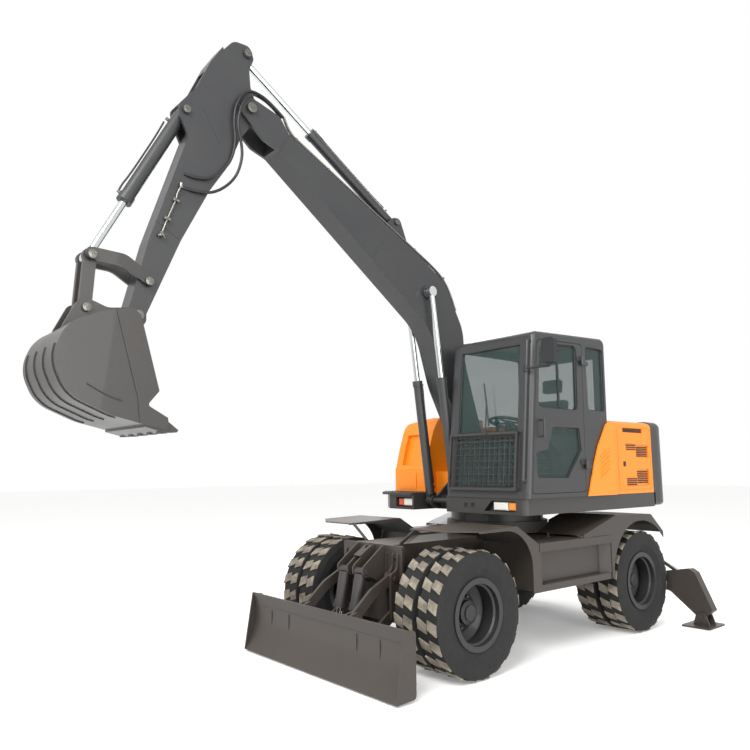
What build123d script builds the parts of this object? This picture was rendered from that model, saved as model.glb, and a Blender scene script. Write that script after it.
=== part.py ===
"""Wheeled excavator with a front blade, rear stabilisers and twin tyres, in millimetres.

+X is forward, +Y is the cab side and +Z is up; the ground is z = 0.
Everything is laid out from the slew centre and moved at export, so that the
origin lies on the ground under the middle of the machine's footprint.
"""
from build123d import *
import math
import os

# ------------------------------------------------------------------ driving dimensions
# Overall layout, measured from the slew centre
ORIGIN_X = -1315.0        # where the slew centre lies along the machine's own X
FRONT_AXLE_X = 1490.0
REAR_AXLE_X = -1039.0
TRACK_OUTER_Y = 1062.0    # outer face of the outer tyre

# Tyres and rims
TYRE_R = 509.0
TYRE_WIDTH = 240.0
TREAD_WIDTH = 204.0
LUG_HEIGHT = 20.0
LUG_COUNT = 20             # in each of a tyre's two rows
TWIN_SPACING = 265.0
RIM_R = 254.0
RIM_FLANGE_R = 286.0
RIM_WIDTH = 178.0
RIM_SHEET = 12.0
RIM_STEP = 16.0           # how far the rim's well lies inside its outer seat
WHEEL_DISC_R = 150.0
HUB_R = 118.0
SPINDLE_R = 45.0

# Axles and steering
KINGPIN_Y = 500.0
KINGPIN_R = 28.0
AXLE_TUBE_R = 78.0
DIFF_R = 160.0
STEER_ARM = 240.0
TIE_ROD_R = 20.0

# Undercarriage
FRAME_HALF_Y = 255.0
FRAME_FRONT_X = 1740.0
FRAME_REAR_X = -1640.0
FRAME_TOP_Z = 1010.0
FRONT_PLATE_HALF_Y = 404.0
FRONT_PLATE_LOW_Z = 365.0
PLATE = 25.0
SLEW_R = 480.0
SLEW_TOP_Z = 1236.0
FENDER_SHEET = 10.0
LOCKER_OUT_Y = 1052.0

# Blade and its parallel arms
BLADE_HALF_Y = 1065.0
BLADE_EDGE_X = 2406.0
BLADE_EDGE_Z = 16.0
BLADE_TOP_X = 2330.0
BLADE_TOP_Z = 518.0
BLADE_SAG = 62.0
BLADE_SHEET = 22.0
BLADE_ARM_Y = 325.0
BLADE_ARM_THICK = 30.0
BLADE_PIVOT_X = 1792.0
BLADE_PIVOT_LOW_Z = 440.0
BLADE_PIVOT_HIGH_Z = 742.0
BLADE_LINK_X = 396.0      # reach of the blade's arms, forward and down
BLADE_LINK_Z = -262.0
BLADE_PIN_R = 22.0

# Stabilisers, which swing across the machine behind the rear wheels
LEG_FRONT_X = -1700.0
LEG_THICK = 110.0
LEG_CHEEK = 12.0          # sheet beside the pocket that its cylinder enters
LEG_PIVOT_Y = 700.0
LEG_PIVOT_Z = 430.0
FOOT_PIN_Y = 1321.0
FOOT_PIN_Z = 105.0
KNEE_Y = 1128.0
KNEE_Z = 508.0
LEG_CYL_TOP_Y = 560.0
LEG_CYL_TOP_Z = 800.0
FOOT_LENGTH = 380.0
FOOT_WIDTH = 300.0
FOOT_SHEET = 16.0
LEG_PIN_R = 24.0

# Upper structure
DECK_HALF_Y = 1046.0
DECK_FRONT_X = 846.0
DECK_LOW_Z = 1254.0
DECK_TOP_Z = 1402.0
TAIL_X = -1810.0
TAIL_CORNER_R = 260.0
HOOD_REAR_X = -1376.0
HOOD_TOP_Z = 2150.0

# Cab
CAB_RIGHT_Y = 86.0
CAB_LEFT_Y = DECK_HALF_Y + 44.0
CAB_REAR_X = -456.0
CAB_FRONT_LOW_X = 862.0
CAB_FRONT_TOP_X = 700.0
CAB_TOP_Z = 2972.0       # at the rear of the roof
ROOF_FALL = 50.0          # from the roof's rear to its front
CAB_CORNER_R = 46.0
CAB_WALL = 45.0
GLASS = 6.0
DOOR_GAP = 5.0
DOOR_REAR_X = -22.0

# Boom, arm and bucket
BOOM_Y = -150.0
BOOM_HALF = 118.0
BOOM_FOOT = (140.0, 1600.0)
BOOM_NOSE = (3030.0, 4734.0)
BOOM_CYL_FOOT = (655.0, 1345.0)
BOOM_CYL_TOP = (948.0, 3457.0)
BOOM_CYL_Y = 175.0
ARM_HALF = 88.0
ARM_CYL_FOOT = (1330.0, 4127.0)
ARM_CYL_ROD = (3061.0, 5243.0)
ARM_TIP = (3932.0, 2802.0)
BUCKET_CYL_TOP = (3600.0, 4539.0)
ROCKER_PIN = (3862.0, 3069.0)
LINK_PIN = (4283.0, 3195.0)
BUCKET_LINK_PIN = (4303.0, 2806.0)
BUCKET_HALF = 390.0
BUCKET_SHEET = 14.0
TOOTH_COUNT = 5
WEAR_STRIPS = 4
WEAR_SHEET = 8.0

# Clearances
RUNNING = 0.05            # radial, pin in bush and rod in barrel
SEAT_GAP = 0.3            # between faces of bodies that move on each other
SIDE_GAP = 4.0            # beside eyes and bosses


BOTTOM = (Align.CENTER, Align.CENTER, Align.MIN)
ACROSS = (0, -1, 0)
FORE = (1, 0, 0)


# ------------------------------------------------------------------ helpers
def outline(rows):
    """A closed face from rows of (a, b, corner radius), radii shortened where sides are short."""
    count = len(rows)
    points = [Vector(a, b) for a, b, radius in rows]
    back = [points[i - 1] - points[i] for i in range(count)]
    ahead = [points[(i + 1) % count] - points[i] for i in range(count)]
    half = [math.radians(back[i].get_angle(ahead[i]) / 2) for i in range(count)]
    reach = [row[2] / math.tan(angle) if angle < 1.55 else 0.0 for row, angle in zip(rows, half)]
    share = [min(1.0, 0.98 * ahead[i].length / max(reach[i] + reach[(i + 1) % count], 1.0)) for i in range(count)]
    reach = [reach[i] * min(share[i - 1], share[i]) for i in range(count)]
    starts = [points[i] + back[i].normalized() * reach[i] for i in range(count)]
    ends = [points[i] + ahead[i].normalized() * reach[i] for i in range(count)]
    edges = []
    for i in range(count):
        if reach[i]:
            inward = (back[i].normalized() + ahead[i].normalized()).normalized()
            bend = reach[i] * math.tan(half[i])
            middle = points[i] + inward * (bend / math.sin(half[i]) - bend)
            edges.append(ThreePointArc(starts[i], middle, ends[i]))
        edges.append(Line(ends[i], starts[(i + 1) % count]))
    return make_face(edges)


def across(rows, y_low, y_high):
    """A side outline (x, z, corner radius) made solid between two y planes."""
    plane = Plane(origin=(0, y_high, 0), x_dir=(1, 0, 0), z_dir=(0, -1, 0))
    return extrude(plane * outline(rows), y_high - y_low)


def upward(rows, z_low, z_high):
    """A plan outline (x, y, corner radius) made solid between two heights."""
    return extrude(Plane.XY.offset(z_low) * outline(rows), z_high - z_low)


def lengthwise(rows, x_low, x_high):
    """A cross outline (y, z, corner radius) made solid between two x planes."""
    plane = Plane(origin=(x_low, 0, 0), x_dir=(0, 1, 0), z_dir=(1, 0, 0))
    return extrude(plane * outline(rows), x_high - x_low)


def block(x_low, x_high, y_low, y_high, z_low, z_high):
    """A box between two corners."""
    size = (x_high - x_low, y_high - y_low, z_high - z_low)
    centre = ((x_low + x_high) / 2, (y_low + y_high) / 2, (z_low + z_high) / 2)
    return Pos(*centre) * Box(*size)


def round_bar(start, end, radius):
    """A round bar between two points."""
    run = Vector(*end) - Vector(*start)
    return extrude(Plane(origin=start, z_dir=run) * Circle(radius), run.length)


def cross_bar(spot, radius, y_low, y_high):
    """A round bar along Y through a spot (x, z)."""
    return round_bar((spot[0], y_low, spot[1]), (spot[0], y_high, spot[1]), radius)


def fore_bar(spot, radius, x_low, x_high):
    """A round bar along X through a spot (y, z)."""
    return round_bar((x_low, spot[0], spot[1]), (x_high, spot[0], spot[1]), radius)


def mirrored(shape):
    """The same piece on the other side of the machine."""
    return mirror(shape, about=Plane.XZ)


def hydraulic(base, eye, mouth, barrel_r, rod_r, travel_in, eye_r, widths, pin_r, side):
    """A cylinder between two pins: barrel solid and rod solid.

    mouth is the gland's distance from the base pin, travel_in how far the rod
    goes in from here, widths the barrel eye's and the rod eye's, and side the
    direction of the pins.
    """
    base_point = Vector(*base)
    run = Vector(*eye) - base_point
    plane = Plane(origin=base_point, x_dir=run, z_dir=side)
    eye_at = run.length
    slim = widths[0] < 2 * barrel_r
    tube_start = eye_r + 14.0 if slim else eye_r * 0.7
    bore_start = eye_r + 14.0
    rod_start = bore_start + travel_in + 5.0
    along = Rot(0, 90, 0)
    barrel = Pos(tube_start, 0, 0) * along * Cylinder(barrel_r, mouth - tube_start, align=BOTTOM)
    barrel += Pos(mouth - 60.0, 0, 0) * along * Cylinder(barrel_r + 6.0, 60.0, align=BOTTOM)
    barrel += Cylinder(eye_r, widths[0])
    if slim:
        barrel += Pos(tube_start / 2, 0, 0) * Box(tube_start + 2.0, eye_r * 1.5, widths[0])
    barrel -= Pos(bore_start, 0, 0) * along * Cylinder(rod_r + RUNNING, mouth, align=BOTTOM)
    if pin_r:
        barrel -= Cylinder(pin_r + RUNNING, 2 * barrel_r + widths[0])
    rod = Pos(rod_start, 0, 0) * along * Cylinder(rod_r, eye_at - eye_r * 0.7 - rod_start, align=BOTTOM)
    rod += Pos(eye_at, 0, 0) * Cylinder(eye_r, widths[1])
    return plane * barrel, plane * rod


# ------------------------------------------------------------------ wheels and axles
def turned(rows, x, y):
    """A profile (radius, offset along Y, corner radius) turned about a wheel's axle."""
    return Pos(x, y, TYRE_R) * revolve(outline(rows), Axis.Y)


TWIN_OUT_Y = TRACK_OUTER_Y - TYRE_WIDTH / 2
TWIN_IN_Y = TWIN_OUT_Y - TWIN_SPACING
TWIN_MID_Y = (TWIN_OUT_Y + TWIN_IN_Y) / 2
RIM_HALF = RIM_WIDTH / 2
HALF_TYRE = TYRE_WIDTH / 2
HALF_TREAD = TREAD_WIDTH / 2
FLANGE_HALF = RIM_HALF + RIM_SHEET


def tyre_body():
    """One tyre's casing about the origin, its axle along Y."""
    base_r = TYRE_R - LUG_HEIGHT
    rows = [
        (RIM_R, -RIM_HALF, 0), (RIM_FLANGE_R + 6, -RIM_HALF, 0), (RIM_R + 110, -HALF_TYRE, 0),
        (TYRE_R - 70, -HALF_TYRE + 4, 0), (base_r, -HALF_TREAD, 0), (base_r, HALF_TREAD, 0),
        (TYRE_R - 70, HALF_TYRE - 4, 0), (RIM_R + 110, HALF_TYRE, 0),
        (RIM_FLANGE_R + 6, RIM_HALF, 0), (RIM_R, RIM_HALF, 0),
    ]
    return revolve(outline(rows), Axis.Y)


def tyre_lugs():
    """The tread's slanted blocks in two staggered rows about the origin."""
    pitch = 2 * math.pi * TYRE_R / LUG_COUNT
    # One block of each row, as (share of the pitch round the tyre, share of half the tread across it)
    blocks = (
        (0.0, ((-0.10, 0.06), (0.36, 0.02), (0.62, 0.98), (0.08, 1.00))),
        (0.5, ((0.10, -0.06), (-0.36, -0.02), (-0.62, -0.98), (-0.08, -1.00))),
    )
    reach = 0.62 * pitch
    top = math.sqrt(TYRE_R ** 2 - reach ** 2)
    low = TYRE_R - LUG_HEIGHT - 8
    lugs = []
    for phase, corners in blocks:
        points = [(pitch * u, HALF_TREAD * v, 0) for u, v in corners]
        for i in range(LUG_COUNT):
            turn = Rot(0, 360 / LUG_COUNT * (i + phase), 0)
            lugs.append(turn * upward(points, low, top))
    return lugs


def tyre(y):
    """One tyre on the Y axis, out to its lugs' tips."""
    return Pos(0, y, 0) * (tyre_body() + tyre_lugs())


def twin_tyres():
    """The two tyres of a left-hand corner about their axle."""
    return [tyre(TWIN_IN_Y), tyre(TWIN_OUT_Y)]


def twin_rims():
    """The two stepped rims of a left-hand corner, back to back on their hub."""
    seat_in, well_in = RIM_R - RIM_SHEET, RIM_R - RIM_SHEET - RIM_STEP
    barrel = [
        (seat_in, -FLANGE_HALF, 0), (RIM_FLANGE_R, -FLANGE_HALF, 0), (RIM_FLANGE_R, -RIM_HALF, 0),
        (RIM_R, -RIM_HALF, 0), (RIM_R, RIM_HALF, 0), (RIM_FLANGE_R, RIM_HALF, 0),
        (RIM_FLANGE_R, FLANGE_HALF, 0), (seat_in, FLANGE_HALF, 0), (seat_in, RIM_HALF - 30, 0),
        (well_in, RIM_HALF - 42, 0), (well_in, -RIM_HALF + 42, 0), (seat_in, -RIM_HALF + 30, 0),
    ]
    profile = outline(barrel)
    rims = Pos(0, TWIN_OUT_Y, 0) * revolve(profile, Axis.Y) + Pos(0, TWIN_IN_Y, 0) * revolve(profile, Axis.Y)
    inside = seat_in + 1
    for way in (1, -1):
        disc = [
            (HUB_R - 8, 0, 0), (WHEEL_DISC_R + 30, 0, 0), (inside, way * 40, 0),
            (inside, way * 56, 0), (WHEEL_DISC_R + 24, way * 16, 0), (HUB_R - 8, way * 16, 0),
        ]
        rims += Pos(0, TWIN_MID_Y, 0) * revolve(outline(disc), Axis.Y)
    hub = [
        (0, -110, 0), (HUB_R, -110, 0), (HUB_R, 70, 0), (HUB_R - 22, 78, 0),
        (HUB_R - 22, 118, 0), (HUB_R - 55, 128, 0), (HUB_R - 55, 140, 0), (0, 140, 0),
    ]
    rims += Pos(0, TWIN_MID_Y, 0) * revolve(outline(hub), Axis.Y)
    bore_end = TWIN_MID_Y + 52
    return rims - round_bar((0, TWIN_IN_Y - 140, 0), (0, bore_end, 0), SPINDLE_R + RUNNING)


def on_axle(x, shape):
    """A wheel piece set on the axle at x."""
    place = Pos(x, 0, TYRE_R)
    return [place * piece for piece in shape] if isinstance(shape, list) else place * shape


KNUCKLE_LOW_Z = TYRE_R - 84.0
KNUCKLE_HIGH_Z = TYRE_R + 84.0
EAR = 30.0
SPINDLE_END_Y = TWIN_MID_Y + 48
TIE_ARM_Y = KINGPIN_Y
TIE_PIN_X = FRONT_AXLE_X - STEER_ARM
TIE_Z = TYRE_R - 90.0
TIE_PIN_R = 14.0


def axle_beam(x, end_y):
    """A driven axle's tube with its differential housing."""
    beam = round_bar((x, -end_y, TYRE_R), (x, end_y, TYRE_R), AXLE_TUBE_R)
    bulge = [(0, -DIFF_R * 1.1, 0), (DIFF_R * 0.62, -DIFF_R * 1.1, 0), (DIFF_R, -50, 0),
             (DIFF_R, 50, 0), (DIFF_R * 0.62, DIFF_R * 1.1, 0), (0, DIFF_R * 1.1, 0)]
    beam += turned(bulge, x, 0)
    for side in (1, -1):
        pad_y = side * (FRAME_HALF_Y - 60)
        beam += block(x - 60, x + 60, pad_y - 45, pad_y + 45, TYRE_R, FRAME_ARCH_Z)
    return beam


FRAME_ARCH_Z = 672.0


def front_axle():
    """Steered axle: its ears take the kingpins."""
    beam = axle_beam(FRONT_AXLE_X, KINGPIN_Y - 90)
    for side in (1, -1):
        for low, high in ((KNUCKLE_LOW_Z - SIDE_GAP - EAR, KNUCKLE_LOW_Z - SIDE_GAP),
                          (KNUCKLE_HIGH_Z + SIDE_GAP, KNUCKLE_HIGH_Z + SIDE_GAP + EAR)):
            beam += block(FRONT_AXLE_X - 52, FRONT_AXLE_X + 52, *sorted((side * 380, side * KINGPIN_Y)), low, high)
            beam += Pos(FRONT_AXLE_X, side * KINGPIN_Y, (low + high) / 2) * Cylinder(52, high - low)
        beam += block(FRONT_AXLE_X - 52, FRONT_AXLE_X + 52, *sorted((side * 380, side * 412)),
                      KNUCKLE_LOW_Z - SIDE_GAP - EAR, KNUCKLE_HIGH_Z + SIDE_GAP + EAR)
        beam -= Pos(FRONT_AXLE_X, side * KINGPIN_Y, TYRE_R) * Cylinder(KINGPIN_R + RUNNING, 400)
    return beam


def rear_axle():
    """Rigid axle whose ends carry the rear hubs."""
    beam = axle_beam(REAR_AXLE_X, KINGPIN_Y + 40)
    return beam + round_bar((REAR_AXLE_X, -SPINDLE_END_Y, TYRE_R), (REAR_AXLE_X, SPINDLE_END_Y, TYRE_R), SPINDLE_R)


def knuckle():
    """Left steering knuckle with its kingpin, spindle and steering arm."""
    x = FRONT_AXLE_X
    body = Pos(x, KINGPIN_Y, TYRE_R) * Cylinder(62, KNUCKLE_HIGH_Z - KNUCKLE_LOW_Z)
    body += Pos(x, KINGPIN_Y, TYRE_R) * Cylinder(KINGPIN_R, KNUCKLE_HIGH_Z - KNUCKLE_LOW_Z + 2 * EAR + 16)
    body += round_bar((x, KINGPIN_Y, TYRE_R), (x, SPINDLE_END_Y, TYRE_R), SPINDLE_R)
    body += round_bar((x, KINGPIN_Y, TYRE_R), (x, TWIN_IN_Y - 92, TYRE_R), 70)
    arm_low = TIE_Z + 15
    arm = [(TIE_PIN_X - 30, TIE_ARM_Y - 30, 29), (x, KINGPIN_Y - 45, 0),
           (x, KINGPIN_Y + 40, 0), (TIE_PIN_X - 30, TIE_ARM_Y + 30, 29)]
    body += upward(arm, arm_low, arm_low + 26)
    body += Pos(TIE_PIN_X, TIE_ARM_Y, TIE_Z) * Cylinder(TIE_PIN_R, 60)
    return body


def tie_rod():
    """The bar between the two steering arms, with an eye at each end."""
    bar = round_bar((TIE_PIN_X, -TIE_ARM_Y, TIE_Z), (TIE_PIN_X, TIE_ARM_Y, TIE_Z), TIE_ROD_R * 0.7)
    for side in (1, -1):
        bar += Pos(TIE_PIN_X, side * TIE_ARM_Y, TIE_Z - 1) * Cylinder(30, 28)
    for side in (1, -1):
        bar -= Pos(TIE_PIN_X, side * TIE_ARM_Y, TIE_Z) * Cylinder(TIE_PIN_R + RUNNING, 80)
    return bar


def drive_line():
    """Gearbox under the frame and the two propeller shafts."""
    z = TYRE_R
    line = block(-120, 260, -150, 150, z - 150, FRAME_BELLY_Z)
    line += round_bar((REAR_AXLE_X + DIFF_R, 0, z), (-120, 0, z), 36)
    line += round_bar((260, 0, z), (FRONT_AXLE_X - DIFF_R, 0, z), 36)
    for x in (REAR_AXLE_X + DIFF_R + 40, -160, 300, FRONT_AXLE_X - DIFF_R - 40):
        line += round_bar((x - 28, 0, z), (x + 28, 0, z), 58)
    return line


# ------------------------------------------------------------------ undercarriage
FRAME_BELLY_Z = 600.0
LUG_IN = (BLADE_ARM_Y - BLADE_ARM_THICK / 2 - SIDE_GAP - PLATE, BLADE_ARM_Y - BLADE_ARM_THICK / 2 - SIDE_GAP)
LUG_OUT = (BLADE_ARM_Y + BLADE_ARM_THICK / 2 + SIDE_GAP, BLADE_ARM_Y + BLADE_ARM_THICK / 2 + SIDE_GAP + PLATE)
TOWER_PIN = (1950.0, 795.0)
TOWER_Y = 107.0
TOWER_SHEET = 18.0
TOWER_EYE = 108.0
TOWER_OUT_Y = TOWER_Y + TOWER_EYE / 2 + SIDE_GAP + TOWER_SHEET
TOWER_ROOF_Y = TOWER_Y - TOWER_EYE / 2 - SIDE_GAP
RIB_TOP_Z = 940.0
RIB_Y = 215.0
RIB_SHEET = 12.0
BLADE_CYL_EYE = (2060.0, 263.0)
LEG_BACK_X = LEG_FRONT_X - LEG_THICK


def chassis_frame():
    """The welded frame: backbone, front plate, blade lugs, cylinder tower and rear box."""
    side = [
        (FRAME_REAR_X, FRAME_TOP_Z, 20), (FRAME_REAR_X, 590, 30), (REAR_AXLE_X - 290, 590, 40),
        (REAR_AXLE_X - 200, FRAME_ARCH_Z, 40), (REAR_AXLE_X + 240, FRAME_ARCH_Z, 40),
        (REAR_AXLE_X + 340, FRAME_BELLY_Z, 40), (FRONT_AXLE_X - 390, FRAME_BELLY_Z, 40),
        (FRONT_AXLE_X - 290, FRAME_ARCH_Z, 40), (FRAME_FRONT_X - PLATE, FRAME_ARCH_Z, 0),
        (FRAME_FRONT_X - PLATE, FRAME_TOP_Z, 0),
    ]
    frame = across(side, -FRAME_HALF_Y, FRAME_HALF_Y)
    half = FRONT_PLATE_HALF_Y
    front = [
        (-half, FRAME_TOP_Z, 12), (-half, 800, 40), (-LUG_OUT[1], 700, 40), (-LUG_OUT[1], FRONT_PLATE_LOW_Z, 20),
        (LUG_OUT[1], FRONT_PLATE_LOW_Z, 20), (LUG_OUT[1], 700, 40), (half, 800, 40), (half, FRAME_TOP_Z, 12),
    ]
    frame += lengthwise(front, FRAME_FRONT_X - PLATE, FRAME_FRONT_X)
    lug = [
        (FRAME_FRONT_X - 5, FRONT_PLATE_LOW_Z + 20, 0), (BLADE_PIVOT_X + 40, FRONT_PLATE_LOW_Z + 20, 40),
        (BLADE_PIVOT_X + 45, BLADE_PIVOT_HIGH_Z + 45, 45), (FRAME_FRONT_X + 22, BLADE_PIVOT_HIGH_Z + 64, 90),
        (FRAME_FRONT_X + 12, RIB_TOP_Z, 8), (FRAME_FRONT_X - 5, RIB_TOP_Z + 14, 0),
    ]
    for side_y in (1, -1):
        for band in (LUG_IN, LUG_OUT):
            frame += across(lug, *sorted((side_y * band[0], side_y * band[1])))
        for z in (BLADE_PIVOT_LOW_Z, BLADE_PIVOT_HIGH_Z):
            ends = sorted((side_y * (LUG_IN[0] - 10), side_y * (LUG_OUT[1] + 14)))
            frame += cross_bar((BLADE_PIVOT_X, z), BLADE_PIN_R, *ends)
    tower = [
        (FRAME_FRONT_X - 5, FRAME_TOP_Z - 10, 0), (FRAME_FRONT_X + 30, FRAME_TOP_Z - 10, 10),
        (TOWER_PIN[0] + 42, TOWER_PIN[1] + 40, 40), (TOWER_PIN[0] + 30, TOWER_PIN[1] - 48, 30),
        (TOWER_PIN[0] - 50, TOWER_PIN[1] - 40, 20), (FRAME_FRONT_X - 5, TOWER_PIN[1] - 130, 0),
    ]
    for side_y in (1, -1):
        for gap in (-1, 1):
            near = side_y * (TOWER_Y + gap * (TOWER_EYE / 2 + SIDE_GAP))
            far = near + side_y * gap * TOWER_SHEET
            frame += across(tower, *sorted((near, far)))
        frame += cross_bar(TOWER_PIN, BLADE_PIN_R, *sorted((side_y * 28, side_y * (TOWER_OUT_Y + 10))))
    roof = [
        (FRAME_FRONT_X - 2, FRAME_TOP_Z - 14, 0), (FRAME_FRONT_X + 40, FRAME_TOP_Z - 14, 0),
        (TOWER_PIN[0] - 40, TOWER_PIN[1] + 122, 0), (TOWER_PIN[0] - 52, TOWER_PIN[1] + 108, 0),
        (FRAME_FRONT_X + 34, FRAME_TOP_Z - 32, 0), (FRAME_FRONT_X - 2, FRAME_TOP_Z - 32, 0),
    ]
    roof_plate = across(roof, -TOWER_ROOF_Y, TOWER_ROOF_Y)
    window_x = FRAME_FRONT_X + 34
    window = [(window_x, -TOWER_ROOF_Y * 0.6, 0), (window_x, TOWER_ROOF_Y * 0.6, 0), (window_x + 52, 0, 0)]
    frame += roof_plate - upward(window, TOWER_PIN[1] + 60, FRAME_TOP_Z)
    for y in (-RIB_Y, RIB_Y):
        rib = [(FRAME_FRONT_X - 3, RIB_TOP_Z - 190, 0), (FRAME_FRONT_X + 16, RIB_TOP_Z - 170, 0),
               (FRAME_FRONT_X + 10, RIB_TOP_Z, 0), (FRAME_FRONT_X - 3, RIB_TOP_Z + 14, 0)]
        frame += across(rib, y - RIB_SHEET / 2, y + RIB_SHEET / 2)
    frame += Pos(0, 0, FRAME_TOP_Z - 10) * Cylinder(LOCKER_IN_Y - 5, 40, align=BOTTOM)
    frame += Pos(0, 0, FRAME_TOP_Z + 20) * Cylinder(TURRET_R, SLEW_LOW_Z - FRAME_TOP_Z - 20, align=BOTTOM)
    frame += block(FRAME_REAR_X, FRAME_REAR_X + 60, -LEG_CYL_TOP_Y - 40, LEG_CYL_TOP_Y + 40, 720, 880)
    for side_y in (1, -1):
        frame -= fore_bar((side_y * TIE_FRONT[0], TIE_FRONT[1]), TIE_FRONT_R, FRAME_FRONT_X - 40, FRAME_FRONT_X + 10)
        frame += stabiliser_mount(side_y)
        for low_x, high_x in ((-420, -340), (560, 640)):
            frame += block(low_x, high_x, *sorted((side_y * 250, side_y * LOCKER_IN_Y)), 780, 860)
    return frame


# Lashing holes (y, z) in the front plate and in the stabilisers' rear plates
TIE_HOLE_R = 22.0
TIE_FRONT_R = 16.0
TIE_FRONT = (BLADE_ARM_Y - 3.0, 892.0)
TIE_REAR = (470.0, 825.0)
LOCKER_IN_Y = 420.0
TURRET_R = SLEW_R + 45.0
SLEW_LOW_Z = FRAME_TOP_Z + 130.0


def stabiliser_mount(side_y):
    """The plates and pins on the frame's rear box that hold one leg and its cylinder."""
    rows = [
        (200, 600, 0), (200, 880, 0), (LEG_CYL_TOP_Y + 55, 880, 50), (LEG_PIVOT_Y + 75, 520, 60),
        (LEG_PIVOT_Y + 65, LEG_PIVOT_Z - 65, 60), (LEG_PIVOT_Y - 70, LEG_PIVOT_Z - 55, 60), (480, 560, 0),
    ]
    rows = [(side_y * y, z, radius) for y, z, radius in rows]
    front_low = LEG_FRONT_X + SIDE_GAP
    mount = lengthwise(rows, front_low, front_low + PLATE)
    mount += lengthwise(rows, LEG_BACK_X - SIDE_GAP - PLATE, LEG_BACK_X - SIDE_GAP)
    mount += block(LEG_BACK_X - SIDE_GAP, FRAME_REAR_X + 1, *sorted((side_y * 200, side_y * 420)), 640, 860)
    for spot in ((side_y * LEG_PIVOT_Y, LEG_PIVOT_Z), (side_y * LEG_CYL_TOP_Y, LEG_CYL_TOP_Z)):
        mount += fore_bar(spot, LEG_PIN_R, LEG_BACK_X - SIDE_GAP - PLATE - 8, front_low + PLATE + 8)
    hole = (side_y * TIE_REAR[0], TIE_REAR[1])
    return mount - fore_bar(hole, TIE_HOLE_R, LEG_BACK_X - SIDE_GAP - PLATE - 5, LEG_BACK_X)


def slew_ring():
    """The bearing between undercarriage and deck."""
    return Pos(0, 0, SLEW_LOW_Z) * Cylinder(SLEW_R, SLEW_TOP_Z - SLEW_LOW_Z, align=BOTTOM)


def sheet_over(points, sheet, y_low, y_high):
    """A folded sheet along points (x, z), hanging below them."""
    upper = [(x, z, 0) for x, z in points]
    lower = [(x, z - sheet, 0) for x, z in reversed(points)]
    return across(upper + lower, y_low, y_high)


# Folds (x, z) of the fenders' tops, front to back
FRONT_FENDER = [(1660.0, 1157.0), (1005.0, 1176.0), (708.0, 1004.0)]
REAR_FENDER = [(10.0, 1040.0), (-569.0, 1200.0), (-1246.0, 1178.0), (-1490.0, 985.0)]
FENDER_IN_Y = 420.0
FENDER_FRONT_Y = 805.0    # where the front edge turns back towards the tyre's outer side
FENDER_TURN_X = 1477.0
SKIRT_LOW_Z = 594.0
# Uprights of the skirts beside the tyres: (from x, to x, radius of the arch above them)
FRONT_UPRIGHT = (700.0, 802.0, 340.0)
REAR_UPRIGHT = (-452.0, -485.0, 520.0)
FRONT_ARCH_Z = 1144.0
REAR_ARCH_R = 612.0
LIP = 15.0                # how deep a skirt hangs at the fender's end
LOCKER_LID_Z = 1010.0
LOCKER_REAR_X = -500.0


def fender_skirt(front, y_low, y_high):
    """One upright plate of a fender in a side plane, cut to its wheel arch."""
    if front:
        rows = [(x, z - 3, 0) for x, z in FRONT_FENDER]
        (tip_x, tip_z), upright = FRONT_FENDER[0], FRONT_UPRIGHT
        low = LOCKER_LID_Z if y_low < TRACK_OUTER_Y - 2 * FENDER_SHEET else SKIRT_LOW_Z
        rows += [(upright[0], low, 0), (upright[1], low, 0), (upright[1], FRONT_ARCH_Z, upright[2]),
                 (tip_x, tip_z - LIP, 0)]
        return across(rows, y_low, y_high)
    upright = REAR_UPRIGHT
    low_x, rear_x = REAR_FENDER[0][0], REAR_FENDER[-1][0]
    rows = [(x, z - 3, 0) for x, z in REAR_FENDER] + [(rear_x, SKIRT_LOW_Z, 0), (upright[0], SKIRT_LOW_Z, 0),
                                                  (upright[0], LOCKER_LID_Z + 4, 0), (low_x, LOCKER_LID_Z + 4, 0)]
    skirt = across(rows, y_low, y_high)
    arch_z = TYRE_R + REAR_ARCH_R - 2
    ahead = [(REAR_AXLE_X - 1, 300, 0), (upright[1], 300, 0), (upright[1], arch_z, upright[2]),
             (REAR_AXLE_X - 1, arch_z, 0)]
    skirt -= across(ahead, y_low - 1, y_high + 1)
    disc = cross_bar((REAR_AXLE_X, TYRE_R), REAR_ARCH_R, y_low - 1, y_high + 1)
    return skirt - (disc & block(-3000, REAR_AXLE_X, y_low - 2, y_high + 2, -200, 3000))


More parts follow.
